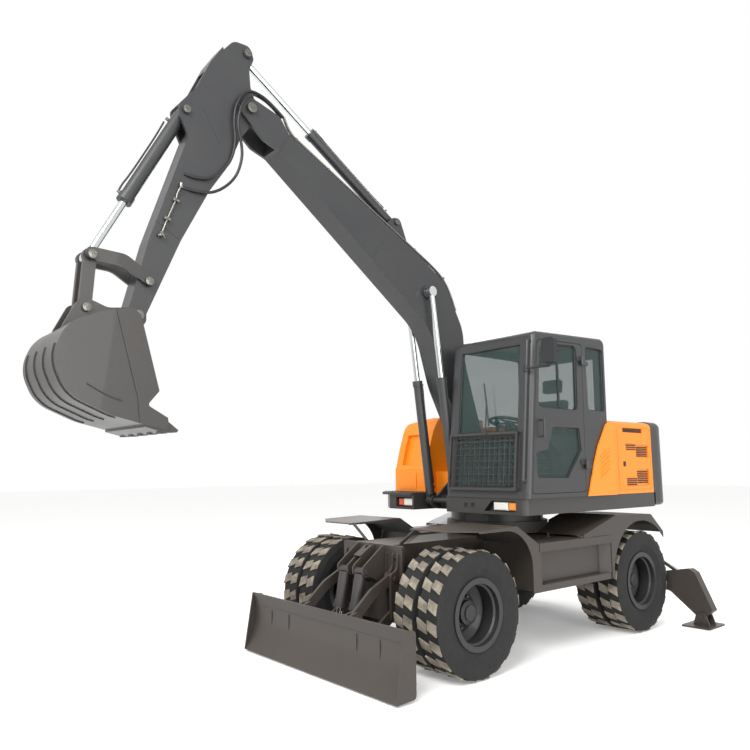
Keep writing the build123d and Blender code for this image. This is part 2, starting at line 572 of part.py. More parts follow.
def fenders():
    """The left fenders: folded tops, skirts at both sides and stays from the frame."""
    pieces = []
    for folds in (FRONT_FENDER, REAR_FENDER):
        front = folds is FRONT_FENDER
        sheet = sheet_over(folds, FENDER_SHEET, FENDER_IN_Y, TRACK_OUTER_Y)
        sheet += fender_skirt(front, TRACK_OUTER_Y - FENDER_SHEET, TRACK_OUTER_Y)
        inner = fender_skirt(front, FENDER_IN_Y, FENDER_IN_Y + FENDER_SHEET)
        sheet += inner & block(-3000, 3000, 0, TRACK_OUTER_Y, LOCKER_LID_Z + 1, 3000)
        if front:
            corner = [(FENDER_TURN_X, TRACK_OUTER_Y, 0), (FRONT_FENDER[0][0], FENDER_FRONT_Y, 0),
                      (FRONT_FENDER[0][0] + 60, FENDER_FRONT_Y, 0), (FRONT_FENDER[0][0] + 60, TRACK_OUTER_Y + 60, 0),
                      (FENDER_TURN_X, TRACK_OUTER_Y + 60, 0)]
            sheet -= upward(corner, 900, 1300)
            stays = (FRONT_FENDER[0][0] - 60,)
        else:
            stays = (REAR_AXLE_X + 200, REAR_AXLE_X - 150)
        for x in stays:
            foot_y = FRAME_HALF_Y - STAY_R - 8
            sheet += round_bar((x, foot_y, FRAME_TOP_Z + 0.3), (x, FENDER_IN_Y + 12, 1150), STAY_R)
        sheet -= block(-3000, 3000, 0, FENDER_IN_Y, FRAME_TOP_Z - 60, FRAME_TOP_Z + 0.3)
        sheet -= Pos(0, 0, 900) * Cylinder(TURRET_R + 6, 400, align=BOTTOM)
        pieces.append(sheet)
    return pieces


STAY_R = 14.0


def lockers():
    """The left side box: its lid, and its door set back between slanted cheeks."""
    front_end = FRONT_UPRIGHT[0] + 6
    box = block(LOCKER_REAR_X + 5, front_end, LOCKER_IN_Y, LOCKER_OUT_Y, 592, LOCKER_LID_Z - 70)
    lid_x = (REAR_UPRIGHT[0] + 1, FRONT_UPRIGHT[0] - 1)
    box += block(LOCKER_REAR_X + 5, front_end, LOCKER_IN_Y, LOCKER_OUT_Y - 20, LOCKER_LID_Z - 72, LOCKER_LID_Z - 12)
    box += block(*lid_x, LOCKER_IN_Y, LOCKER_OUT_Y + 10, LOCKER_LID_Z - 74, LOCKER_LID_Z)
    door_y = LOCKER_OUT_Y - LOCKER_DOOR_DEEP
    recess = [(FRONT_UPRIGHT[0] - 32, LOCKER_OUT_Y + 1, 0), (FRONT_UPRIGHT[0] - 32, door_y, 0),
              (LOCKER_REAR_X + 135, door_y, 0), (LOCKER_REAR_X + 45, LOCKER_OUT_Y + 1, 0)]
    box -= upward(recess, 650, LOCKER_LID_Z - 74)
    door = block(LOCKER_REAR_X + 150, FRONT_UPRIGHT[0] - 44, door_y - 1, door_y + 8, 664, LOCKER_LID_Z - 84)
    return box + door


LOCKER_DOOR_DEEP = 80.0


# ------------------------------------------------------------------ blade and its linkage
BLADE_LOW_PIN = (BLADE_PIVOT_X + BLADE_LINK_X, BLADE_PIVOT_LOW_Z + BLADE_LINK_Z)
BLADE_HIGH_PIN = (BLADE_PIVOT_X + BLADE_LINK_X, BLADE_PIVOT_HIGH_Z + BLADE_LINK_Z)


def mouldboard():
    """The curved blade sheet between its end plates."""
    top = Vector(BLADE_TOP_X, BLADE_TOP_Z)
    low = Vector(BLADE_EDGE_X, BLADE_EDGE_Z)
    back = Vector(-BLADE_SHEET, 0)
    middle = (top + low) * 0.5 - Vector(BLADE_SAG, 0)
    edges = [
        ThreePointArc(top, middle, low), Line(low, low + back),
        ThreePointArc(low + back, middle + back, top + back), Line(top + back, top),
    ]
    plane = Plane(origin=(0, BLADE_HALF_Y, 0), x_dir=(1, 0, 0), z_dir=(0, -1, 0))
    return extrude(plane * make_face(edges), 2 * BLADE_HALF_Y)


def blade():
    """The blade with end plates, back stiffeners and the lugs for its arms."""
    body = mouldboard()
    end = [
        (BLADE_TOP_X, BLADE_TOP_Z, 0), (BLADE_EDGE_X, BLADE_EDGE_Z, 0),
        (BLADE_EDGE_X - 190, BLADE_EDGE_Z + 10, 30), (BLADE_TOP_X - 114, BLADE_TOP_Z - 20, 30),
    ]
    for side_y in (1, -1):
        body += across(end, *sorted((side_y * BLADE_HALF_Y, side_y * (BLADE_HALF_Y - 14))))
    back_x = BLADE_TOP_X - BLADE_SHEET
    for z, deep in ((120, 100), (400, 54)):
        body += block(back_x - deep, back_x, -BLADE_HALF_Y + 7, BLADE_HALF_Y - 7, z, z + 14)
    body += block(back_x - 52, back_x - 40, -420, 420, 120, 414)
    for y in (-760, -480, 480, 760):
        body += block(back_x - 52, back_x, y - 7, y + 7, 120, 414)
    lug = [
        (BLADE_LOW_PIN[0] - 42, BLADE_LOW_PIN[1] - 20, 40), (BLADE_LOW_PIN[0] + 30, BLADE_LOW_PIN[1] - 60, 0),
        (back_x + 4, 80, 0), (back_x - 20, BLADE_HIGH_PIN[1] + 20, 0),
        (BLADE_HIGH_PIN[0] + 10, BLADE_HIGH_PIN[1] + 44, 20), (BLADE_HIGH_PIN[0] - 42, BLADE_HIGH_PIN[1] + 20, 38),
    ]
    for side_y in (1, -1):
        for band in (LUG_IN, LUG_OUT):
            body += across(lug, *sorted((side_y * band[0], side_y * band[1])))
        for spot in (BLADE_LOW_PIN, BLADE_HIGH_PIN):
            ends = sorted((side_y * (LUG_IN[0] - 8), side_y * (LUG_OUT[1] + 8)))
            body += cross_bar(spot, BLADE_PIN_R, *ends)
    return body


def blade_arm(start, end, bow, half_height):
    """The left arm plate between two pins, bowed upwards."""
    run = math.hypot(end[0] - start[0], end[1] - start[1])
    rows = [(-half_height, -half_height, half_height * 0.9), (run / 2, bow - half_height, run / 4),
            (run + half_height, -half_height, half_height * 0.9),
            (run + half_height, half_height, half_height * 0.9), (run / 2, bow + half_height, run / 4),
            (-half_height, half_height, half_height * 0.9)]
    low, high = BLADE_ARM_Y - BLADE_ARM_THICK / 2, BLADE_ARM_Y + BLADE_ARM_THICK / 2
    origin = Vector(start[0], high, start[1])
    plane = Plane(origin=origin, x_dir=(end[0] - start[0], 0, end[1] - start[1]), z_dir=ACROSS)
    arm = extrude(plane * outline(rows), high - low)
    for spot in (start, end):
        arm -= cross_bar(spot, BLADE_PIN_R + RUNNING, low - 5, high + 5)
    return arm


def blade_upper_arms():
    """The two upper arms."""
    arm = blade_arm((BLADE_PIVOT_X, BLADE_PIVOT_HIGH_Z), BLADE_HIGH_PIN, 34, 44)
    return [arm, mirrored(arm)]


def blade_lower_arms():
    """The two lower arms, joined by the tube that the blade cylinders push on."""
    arm = blade_arm((BLADE_PIVOT_X, BLADE_PIVOT_LOW_Z), BLADE_LOW_PIN, 0, 44)
    inner = BLADE_ARM_Y - BLADE_ARM_THICK / 2
    frame = arm + mirrored(arm)
    for low, high in ((-inner - 1, -TOWER_Y - 36), (-TOWER_Y + 36, TOWER_Y - 36), (TOWER_Y + 36, inner + 1)):
        frame += cross_bar(BLADE_CYL_EYE, 34, low, high)
    beam_spot = (BLADE_CYL_EYE[0] - 92, BLADE_CYL_EYE[1] + 60)
    frame += cross_bar(beam_spot, 30, -inner - 1, inner + 1)
    for side_y in (1, -1):
        for y in (side_y * (TOWER_Y - 68), side_y * (TOWER_Y + 68)):
            web = across([(beam_spot[0], beam_spot[1] - 28, 0), (BLADE_CYL_EYE[0], BLADE_CYL_EYE[1] - 34, 0),
                          (BLADE_CYL_EYE[0] + 6, BLADE_CYL_EYE[1] + 34, 0), (beam_spot[0], beam_spot[1] + 28, 0)],
                         y - 8, y + 8)
            frame += web
    return frame


def blade_cylinders():
    """Both blade cylinders: barrels on the tower, rods down to the lower arms."""
    barrels, rods = [], []
    for y in (TOWER_Y, -TOWER_Y):
        base = (TOWER_PIN[0], y, TOWER_PIN[1])
        eye = (BLADE_CYL_EYE[0], y, BLADE_CYL_EYE[1])
        barrel, rod = hydraulic(base, eye, 326.0, 52, 24, 178, 34, (TOWER_EYE, 60), BLADE_PIN_R, ACROSS)
        barrels.append(barrel)
        rods.append(rod)
    return barrels, rods


# ------------------------------------------------------------------ stabilisers
def leg():
    """The left leg, a box that tapers from its knee to its foot."""
    rows = [
        (LEG_PIVOT_Y - 52, LEG_PIVOT_Z - 50, 50), (993, 325, 60), (1262, 106, 20),
        (FOOT_PIN_Y, FOOT_PIN_Z - 42, 42), (FOOT_PIN_Y + 62, FOOT_PIN_Z + 20, 30), (1440, 172, 14),
        (1276, 545, 40), (1216, 582, 30), (KNEE_Y - 40, KNEE_Z + 52, 30), (LEG_PIVOT_Y + 10, LEG_PIVOT_Z + 55, 50),
    ]
    body = lengthwise(rows, LEG_BACK_X, LEG_FRONT_X)
    pocket = [
        (LEG_PIVOT_Y - 60, LEG_PIVOT_Z + 60, 0), (LEG_PIVOT_Y - 60, 800, 0), (KNEE_Y + 60, 800, 0),
        (KNEE_Y + 70, KNEE_Z - 46, 30), (KNEE_Y - 120, KNEE_Z - 84, 30), (LEG_PIVOT_Y + 40, LEG_PIVOT_Z + 36, 20),
    ]
    body -= lengthwise(pocket, LEG_BACK_X + LEG_CHEEK, LEG_FRONT_X - LEG_CHEEK)
    body -= fore_bar((LEG_PIVOT_Y, LEG_PIVOT_Z), LEG_PIN_R + RUNNING, LEG_BACK_X - 5, LEG_FRONT_X + 5)
    body -= fore_bar((FOOT_PIN_Y, FOOT_PIN_Z), LEG_PIN_R + RUNNING, LEG_BACK_X - 5, LEG_FRONT_X + 5)
    return body


def foot():
    """The left foot: a plate with turned-up edges, ears and a pin."""
    x = (LEG_FRONT_X + LEG_BACK_X) / 2
    y = FOOT_PIN_Y - 16
    half_x = FOOT_LENGTH / 2
    half_y = FOOT_WIDTH / 2
    plan = [(x - half_x, y - half_y, 25), (x + half_x, y - half_y, 25),
            (x + half_x, y + half_y, 25), (x - half_x, y + half_y, 25)]
    body = upward(plan, 0, FOOT_SHEET)
    ear = [(FOOT_PIN_Y - 90, 8, 0), (FOOT_PIN_Y + 90, 8, 0), (FOOT_PIN_Y + 44, FOOT_PIN_Z + 40, 42),
           (FOOT_PIN_Y - 44, FOOT_PIN_Z + 40, 42)]
    for low in (LEG_FRONT_X + SIDE_GAP, LEG_BACK_X - SIDE_GAP - 18):
        body += lengthwise(ear, low, low + 18)
    pin_low, pin_high = LEG_BACK_X - SIDE_GAP - 26, LEG_FRONT_X + SIDE_GAP + 26
    return body + fore_bar((FOOT_PIN_Y, FOOT_PIN_Z), LEG_PIN_R, pin_low, pin_high)


LEG_BARREL = 345.0
LEG_TRAVEL = 253.0


def leg_cylinder():
    """The left stabiliser's cylinder."""
    x = (LEG_FRONT_X + LEG_BACK_X) / 2
    base = (x, LEG_CYL_TOP_Y, LEG_CYL_TOP_Z)
    eye = (x, KNEE_Y, KNEE_Z)
    return hydraulic(base, eye, LEG_BARREL, 33, 24, LEG_TRAVEL, 34, (96, 52), LEG_PIN_R, FORE)


# ------------------------------------------------------------------ deck and bodywork
BRACKET_GAP = 3.0
BRACKET_SHEET = 24.0
BRACKET_IN = BOOM_HALF + BRACKET_GAP
BRACKET_OUT = BRACKET_IN + BRACKET_SHEET
WELL_RIGHT_Y = BOOM_Y - BOOM_CYL_Y - 62.0
WELL_LEFT_Y = CAB_RIGHT_Y - 4.0
WELL_REAR_X = 520.0
FOOT_PIN_R = 32.0
DECK_CUT = (226.0, 286.0)  # the right front corner's cut, along X and Y
LAMP_BAY_DEEP = 60.0
# Lamp bays in the deck's front: (y at the bottom, y at the top, y of the upright end)
LAMP_BAYS = ((560.0, 650.0, 930.0), (-655.0, -655.0, -410.0))
LAMPS = ((660, 822, 46), (832, 918, 40), (-640, -565, 40), (-555, -425, 46))  # (y from, y to, depth)
SLOT_Y = (336.0, 422.0)    # two groups of bumper slots
SLOT_Z = (1312.0, 1326.0, 1340.0)


def deck():
    """The turntable's deck, with the well and the bracket for the boom."""
    bracket_x = WELL_REAR_X + 40
    plan = [
        (TAIL_X + 120, -DECK_HALF_Y + 330, 0), (HOOD_REAR_X, -DECK_HALF_Y, 0),
        (DECK_FRONT_X - DECK_CUT[0], -DECK_HALF_Y, 0), (DECK_FRONT_X, -DECK_HALF_Y + DECK_CUT[1], 20),
        (DECK_FRONT_X, WELL_RIGHT_Y, 0), (WELL_REAR_X, WELL_RIGHT_Y, 0), (WELL_REAR_X, WELL_LEFT_Y, 0),
        (DECK_FRONT_X, WELL_LEFT_Y, 0), (DECK_FRONT_X, DECK_HALF_Y, 70), (HOOD_REAR_X, DECK_HALF_Y, 0),
        (TAIL_X + 120, DECK_HALF_Y - 330, 0),
    ]
    body = upward(plan, DECK_LOW_Z, DECK_TOP_Z)
    low, top = DECK_LOW_Z + 26, DECK_TOP_Z - 26
    for y_low, y_top, y_end in LAMP_BAYS:
        bay = [(y_low, low, 0), (y_end, low, 0), (y_end, top, 0), (y_top, top, 0)]
        body -= lengthwise(bay, DECK_FRONT_X - LAMP_BAY_DEEP, DECK_FRONT_X + 1)
    for y in SLOT_Y:
        for z in SLOT_Z:
            body -= block(DECK_FRONT_X - 20, DECK_FRONT_X + 1, y - 25, y + 25, z, z + 7)
    body += Pos(0, 0, SLEW_TOP_Z) * Cylinder(SLEW_R - 20, DECK_LOW_Z - SLEW_TOP_Z + 1, align=BOTTOM)
    bracket = [
        (-420, DECK_TOP_Z - 10, 0), (bracket_x, DECK_TOP_Z - 10, 0), (bracket_x, DECK_LOW_Z + 6, 20),
        (BOOM_CYL_FOOT[0] + 40, BOOM_CYL_FOOT[1] - 70, 50), (BOOM_CYL_FOOT[0] + 56, BOOM_CYL_FOOT[1] + 10, 50),
        (BOOM_CYL_FOOT[0] + 10, BOOM_CYL_FOOT[1] + 54, 40), (BOOM_CYL_FOOT[0] - 40, BOOM_CYL_FOOT[1] + 45, 30),
        (BOOM_FOOT[0] + 120, BOOM_FOOT[1] + 60, 90),
        (BOOM_FOOT[0] - 40, BOOM_FOOT[1] + 125, 90), (BOOM_FOOT[0] - 150, BOOM_FOOT[1] + 20, 60),
    ]
    sides = ((BOOM_Y - BRACKET_OUT, BOOM_Y - BRACKET_IN), (BOOM_Y + BRACKET_IN, BOOM_Y + BRACKET_OUT))
    for near, far in sides:
        body += across(bracket, near, far)
    body += block(WELL_REAR_X - 5, bracket_x, sides[0][0], sides[1][1], DECK_LOW_Z + 6, DECK_TOP_Z - 10)
    body += cross_bar(BOOM_FOOT, FOOT_PIN_R, sides[0][0] - 14, sides[1][1] + 14)
    for near, far in sides:
        body -= cross_bar(BOOM_CYL_FOOT, BOOM_PIN_R + RUNNING, near - 5, far + 5)
    return body


BOOM_PIN_R = 28.0


def tail_plan(inset):
    """Plan of the machine's tail, drawn in by inset."""
    half = DECK_HALF_Y - inset
    rear = TAIL_X + inset
    corner = TAIL_CORNER_R
    return [(HOOD_REAR_X, -half, 0), (HOOD_REAR_X, half, 0), (rear + 70, half, corner),
            (rear, 300, 400), (rear, -300, 400), (rear + 70, -half, corner)]


def counterweight():
    """The rounded cast counterweight behind the hood."""
    body = upward(tail_plan(0), DECK_LOW_Z + 8, HOOD_TOP_Z + 14)
    body = fillet(body.faces().sort_by(Axis.Z)[-1].edges().filter_by(lambda e: e.center().X < HOOD_REAR_X - 5), 70)
    body = fillet(body.faces().sort_by(Axis.Z)[0].edges().filter_by(lambda e: e.center().X < HOOD_REAR_X - 5), 40)
    deck_seat = [(TAIL_X + 110, -DECK_HALF_Y + 320, 0), (HOOD_REAR_X + 1, -DECK_HALF_Y - 30, 0),
                 (HOOD_REAR_X + 1, DECK_HALF_Y + 30, 0), (TAIL_X + 110, DECK_HALF_Y - 320, 0)]
    return body - upward(deck_seat, DECK_LOW_Z - 1, DECK_TOP_Z)


HOOD_SHEET = 30.0
# Pockets in both sides of the hood: (depth, corner radius, corners (x, z))
HOOD_POCKETS = (
    (16.0, 10, ((-1197, 2030), (-798, 2030), (-798, 2082), (-1197, 2082))),
    (16.0, 12, ((-840, 1925), (-1300, 1900), (-1310, 1770), (-1060, 1770), (-1000, 1840), (-850, 1840))),
    (16.0, 12, ((-840, 1470), (-1290, 1480), (-1300, 1650), (-1060, 1650), (-1000, 1570), (-835, 1570))),
    (8.0, 12, ((-842, 1676), (-782, 1676), (-782, 1736), (-842, 1736))),
)
HOOD_GAP = 12.0
PANEL_SHEET = 14.0
TANK_CROWN_Z = 2263.0
TANK_LEFT_Y = -560.0


def engine_hood():
    """The hollow engine hood with its side vents, latches and door grooves."""
    half, top, front = DECK_HALF_Y, HOOD_TOP_Z, CAB_REAR_X - HOOD_GAP
    rear = HOOD_REAR_X + 4
    cross = [(-half, DECK_TOP_Z, 0), (-half, top, 60), (half, top, 60), (half, DECK_TOP_Z, 0)]
    near = half - HOOD_SHEET
    inner = [(-near, DECK_TOP_Z - 1, 0), (-near, top - HOOD_SHEET, 30),
             (near, top - HOOD_SHEET, 30), (near, DECK_TOP_Z - 1, 0)]
    hood = lengthwise(cross, rear, front) - lengthwise(inner, rear - 1, front - HOOD_SHEET)
    groove = [(rear + 31, DECK_TOP_Z + 38, 20), (rear + 682, DECK_TOP_Z + 38, 20),
              (rear + 682, top - 65, 20), (rear + 31, top - 65, 20)]
    leaf = [(rear + 37, DECK_TOP_Z + 44, 14), (rear + 676, DECK_TOP_Z + 44, 14),
            (rear + 676, top - 71, 14), (rear + 37, top - 71, 14)]
    for side_y in (1, -1):
        for deep, corner, points in HOOD_POCKETS:
            rows = [(x, z, corner) for x, z in points]
            hood -= across(rows, *sorted((side_y * (half - deep), side_y * (half + 1))))
        ends = sorted((side_y * (half - 4), side_y * (half + 1)))
        hood -= across(groove, *ends) - across(leaf, *ends)
    return hood


def engine():
    """The engine, closed in by the hood, as one block."""
    return block(-1250, -560, -420, 420, DECK_TOP_Z, DECK_TOP_Z + 560)


def side_panel():
    """The left side panel between the cab and the hood, cut to the cab's slant, with pressed ribs."""
    inner_y, rear_x, top = CAB_LEFT_Y + SIDE_GAP, CAB_REAR_X - 69, HOOD_TOP_Z - 30
    out_y = inner_y + PANEL_SHEET
    rows = [
        (rear_x, DECK_TOP_Z, 0), (-40, DECK_TOP_Z, 0), (-160, 1715, 80),
        (-240, 1880, 60), (rear_x + 125, top - 15, 20), (rear_x, top, 0),
    ]
    body = across(rows, inner_y, out_y)
    body += block(rear_x - PANEL_SHEET, rear_x, DECK_HALF_Y, out_y, DECK_TOP_Z, top)
    for i in range(6):
        z = 1560 + 40 * i
        rib = [(-255, z, 0), (-255, z + 14, 0), (-425, z + 104, 0), (-425, z + 90, 0)]
        body += across(rib, out_y - 1, out_y + 6)
    return body


def tank_housing():
    """The right-hand housing over the tanks, with its sloping front and the cover beside the boom."""
    rear_x, front_end = CAB_REAR_X - 10, 500
    rows = [
        (rear_x, DECK_TOP_Z, 0), (front_end, DECK_TOP_Z, 0), (front_end, 1672, 14), (486, 1690, 10),
        (438, 1872, 300), (366, 2089, 160), (258, TANK_CROWN_Z, 160), (rear_x, TANK_CROWN_Z - 30, 0),
    ]
    body = across(rows, -DECK_HALF_Y, TANK_LEFT_Y)
    slant = [(-DECK_HALF_Y, DECK_TOP_Z, 0), (TANK_LEFT_Y, DECK_TOP_Z, 0), (TANK_LEFT_Y, TANK_CROWN_Z, 40),
             (-DECK_HALF_Y, TANK_CROWN_Z - 83, 60)]
    body &= lengthwise(slant, rear_x, front_end)
    recess = [(438, 1712, 20), (520, 1712, 0), (520, 2050, 0), (334, 2050, 30)]
    body -= across(recess, -DECK_HALF_Y + 96, -DECK_HALF_Y + 286)
    body += block(front_end - 1, front_end + 8, -DECK_HALF_Y + 86, -DECK_HALF_Y + 346, 1450, 1620)
    return body + block(rear_x, 330, TANK_LEFT_Y - 1, WELL_RIGHT_Y - 4, DECK_TOP_Z, 1640)


def step_deck():
    """The step on the deck's right front, in front of the tank housing."""
    front, back = DECK_FRONT_X + 40, 510
    plan = [(back, -DECK_HALF_Y, 0), (front - 186, -DECK_HALF_Y, 0), (front, -DECK_HALF_Y + 216, 20),
            (front, WELL_RIGHT_Y - 10, 20), (back, WELL_RIGHT_Y - 10, 0)]
    return upward(plan, DECK_TOP_Z, DECK_TOP_Z + 22)


# ------------------------------------------------------------------ cab
def front_x(z, inset=0.0):
    """X of the cab's sloping front at a height, drawn in by inset."""
    share = (z - DECK_TOP_Z) / (CAB_TOP_Z - DECK_TOP_Z)
    return CAB_FRONT_LOW_X + share * (CAB_FRONT_TOP_X - CAB_FRONT_LOW_X) - inset


CAB_MID_Y = (CAB_LEFT_Y + CAB_RIGHT_Y) / 2
SCREEN_Y = (215.0, 940.0)
SCREEN_Z = (2005.0, CAB_TOP_Z - 167.0)
LOW_SCREEN_Z = (1500.0, 1950.0)
DOOR_LOW_Z = DECK_TOP_Z + 38.0
DOOR_TOP_Z = CAB_TOP_Z - 100.0
DOOR_FALL = ROOF_FALL / 2
SILL_Z = 2213.0
SIDE_TOP_Z = DOOR_TOP_Z - 27.0
QUARTER_X = (-418.0, -108.0)


def cab_side(inset):
    """The cab's side outline, drawn in by inset, its roof falling towards the front."""
    low, top = DECK_TOP_Z + inset, CAB_TOP_Z - inset
    front_top = top - ROOF_FALL
    corner = max(70.0 - inset, 10.0)
    return [(CAB_REAR_X + inset, low, 0), (front_x(low, inset), low, 0),
            (front_x(front_top, inset), front_top, corner), (CAB_REAR_X + inset - 18, top, corner)]


def door_outline(gap):
    """The door's side outline, drawn in by gap."""
    low, top = DOOR_LOW_Z + gap, DOOR_TOP_Z - gap
    front = CAB_CORNER_R + gap
    return [(DOOR_REAR_X + gap, low, 30), (front_x(low, front), low, 30),
            (front_x(top - DOOR_FALL, front), top - DOOR_FALL, 70), (DOOR_REAR_X - 30 + gap, top, 30)]


def door_window():
    """The door's upper window."""
    front_z = SIDE_TOP_Z - 33
    return [(60, SILL_Z, 60), (front_x(SILL_Z, 100), SILL_Z, 60),
            (front_x(front_z, 88), front_z, 110), (44, SIDE_TOP_Z, 60)]


def door_low_window():
    """The door's lower window, with its slanted rear corner and stepped front."""
    return [(262, 1575, 30), (726, 1583, 30), (734, 1810, 30), (556, 1836, 20), (474, 2045, 30),
            (50, 2047, 30), (26, 1835, 40)]


def side_window(span_x):
    """The window behind the door, between two x values."""
    rear, front = span_x
    return [(rear + 8, SILL_Z + 12, 40), (front - 14, SILL_Z + 12, 40), (front, SIDE_TOP_Z + 10, 40),
            (rear, SIDE_TOP_Z + 10, 40)]


RIGHT_WINDOW_X = (-330.0, 640.0)
REAR_WINDOW_Z = (2060.0, 2780.0)
REAR_WINDOW_Y = (CAB_RIGHT_Y + 120.0, CAB_LEFT_Y - 120.0)


def right_window():
    """The window beside the boom."""
    return [(RIGHT_WINDOW_X[0], 1960, 40), (RIGHT_WINDOW_X[1] + 40, 1960, 40),
            (front_x(SIDE_TOP_Z, 110), SIDE_TOP_Z, 60), (RIGHT_WINDOW_X[0] - 12, SIDE_TOP_Z, 40)]


def cab_column():
    """A leaning column with the cab's rounded front corners."""
    plan = [(CAB_REAR_X - 300, CAB_RIGHT_Y, 0), (CAB_FRONT_LOW_X, CAB_RIGHT_Y, CAB_CORNER_R),
            (CAB_FRONT_LOW_X, CAB_LEFT_Y, CAB_CORNER_R), (CAB_REAR_X - 300, CAB_LEFT_Y, 0)]
    lean = Vector(CAB_FRONT_TOP_X - CAB_FRONT_LOW_X, 0, CAB_TOP_Z - DECK_TOP_Z)
    foot_face = Plane.XY.offset(DECK_TOP_Z) * outline(plan)
    return extrude(foot_face, lean.length, dir=lean.normalized())


def cab_shell():
    """The cab's hollow shell with its window and door openings."""
    shell = across(cab_side(0), CAB_RIGHT_Y, CAB_LEFT_Y)
    roof_edges = [e for e in shell.edges().filter_by(GeomType.LINE)
                  if e.center().Z > CAB_TOP_Z - ROOF_FALL and e.length > 500 and abs(e.center().Y - CAB_MID_Y) > 400]
    shell = fillet(roof_edges, 34) & cab_column()
    shell -= across(cab_side(CAB_WALL), CAB_RIGHT_Y + CAB_WALL, CAB_LEFT_Y - CAB_WALL)
    for span_z in (SCREEN_Z, LOW_SCREEN_Z):
        shell -= block(500, 1000, *SCREEN_Y, *span_z)
    shell -= block(CAB_REAR_X - 60, CAB_REAR_X + 60, *REAR_WINDOW_Y, *REAR_WINDOW_Z)
    shell -= across(door_outline(0), CAB_LEFT_Y - CAB_WALL - 5, CAB_LEFT_Y + 5)
    shell -= across(side_window(QUARTER_X), CAB_LEFT_Y - CAB_WALL - 5, CAB_LEFT_Y + 5)
    shell -= across(right_window(), CAB_RIGHT_Y - 5, CAB_RIGHT_Y + CAB_WALL + 5)
    for z in HINGE_Z:
        shell += cross_lug(z)
    rail_low, rail_high = 1560.0, 2830.0
    rail_y = CAB_LEFT_Y - 40
    start = (front_x(rail_low) + 40, rail_y, rail_low)
    end = (front_x(rail_high) + 40, rail_y, rail_high)
    shell += round_bar(start, end, 14)
    for x, y, z in (start, end):
        shell += round_bar((x - 52, y, z), (x, y, z), 14)
    return shell


HINGE_Z = (1700.0, 2700.0)
HINGE_R = 11.0
HINGE_Y = CAB_LEFT_Y + 22.0


def cross_lug(z):
    """The cab's half of one door hinge: a lug and a pin."""
    lug = block(DOOR_REAR_X - 110, DOOR_REAR_X - 34, CAB_LEFT_Y - 1, CAB_LEFT_Y + 12, z - 40, z)
    lug += block(DOOR_REAR_X - 110, DOOR_REAR_X - 2, CAB_LEFT_Y + 3, CAB_LEFT_Y + 12, z - 40, z)
    lug += Pos(DOOR_REAR_X, HINGE_Y, z - 20) * Cylinder(HINGE_R + 7, 40)
    lug += block(DOOR_REAR_X - 20, DOOR_REAR_X - 4, CAB_LEFT_Y + 3, HINGE_Y, z - 40, z)
    return lug + Pos(DOOR_REAR_X, HINGE_Y, z) * Cylinder(HINGE_R, 100)


def cab_door():
    """The door with two window openings, its hinge barrels and its handle."""
    y_low, y_high = CAB_LEFT_Y - CAB_WALL, CAB_LEFT_Y
    door = across(door_outline(DOOR_GAP), y_low, y_high)
    door -= across(door_window(), y_low - 5, y_high + 5)
    door -= across(door_low_window(), y_low - 5, y_high + 5)
    for z in HINGE_Z:
        leaf = block(DOOR_REAR_X + 4, DOOR_REAR_X + 70, CAB_LEFT_Y - 1, CAB_LEFT_Y + 10, z + SEAT_GAP, z + 40)
        leaf += Pos(DOOR_REAR_X, HINGE_Y, z + 20 + SEAT_GAP / 2) * Cylinder(HINGE_R + 7, 40 - SEAT_GAP)
        leaf += block(DOOR_REAR_X + 4, DOOR_REAR_X + 20, CAB_LEFT_Y - 1, HINGE_Y, z + SEAT_GAP, z + 40)
        door += leaf - Pos(DOOR_REAR_X, HINGE_Y, z) * Cylinder(HINGE_R + RUNNING, 120)
    grip_x = front_x(2025, 140)
    door += round_bar((grip_x, y_high + 40, 1940), (grip_x, y_high + 40, 2110), 11)
    for z in (1951, 2099):
        door += round_bar((grip_x, y_high - 2, z), (grip_x, y_high + 40, z), 8)
    return door


def pane(rows, y):
    """A flat pane in a side opening."""
    return across(rows, y, y + GLASS)


def cab_glass():
    """The fixed panes: both screens, the rear, right and quarter windows."""
    panes = []
    for low, high in (SCREEN_Z, LOW_SCREEN_Z):
        rows = [(front_x(low, 26), low, 0), (front_x(low, 20), low, 0),
                (front_x(high, 20), high, 0), (front_x(high, 26), high, 0)]
        panes.append(across(rows, *SCREEN_Y))
    rear_x = CAB_REAR_X - 12 + 20
    panes.append(block(rear_x, rear_x + GLASS, *REAR_WINDOW_Y, *REAR_WINDOW_Z))
    panes.append(pane(right_window(), CAB_RIGHT_Y + 20))
    panes.append(pane(side_window(QUARTER_X), CAB_LEFT_Y - 26))
    return panes


def door_glass():
    """The door's two panes."""
    y = CAB_LEFT_Y - 26
    return [pane(door_window(), y), pane(door_low_window(), y)]


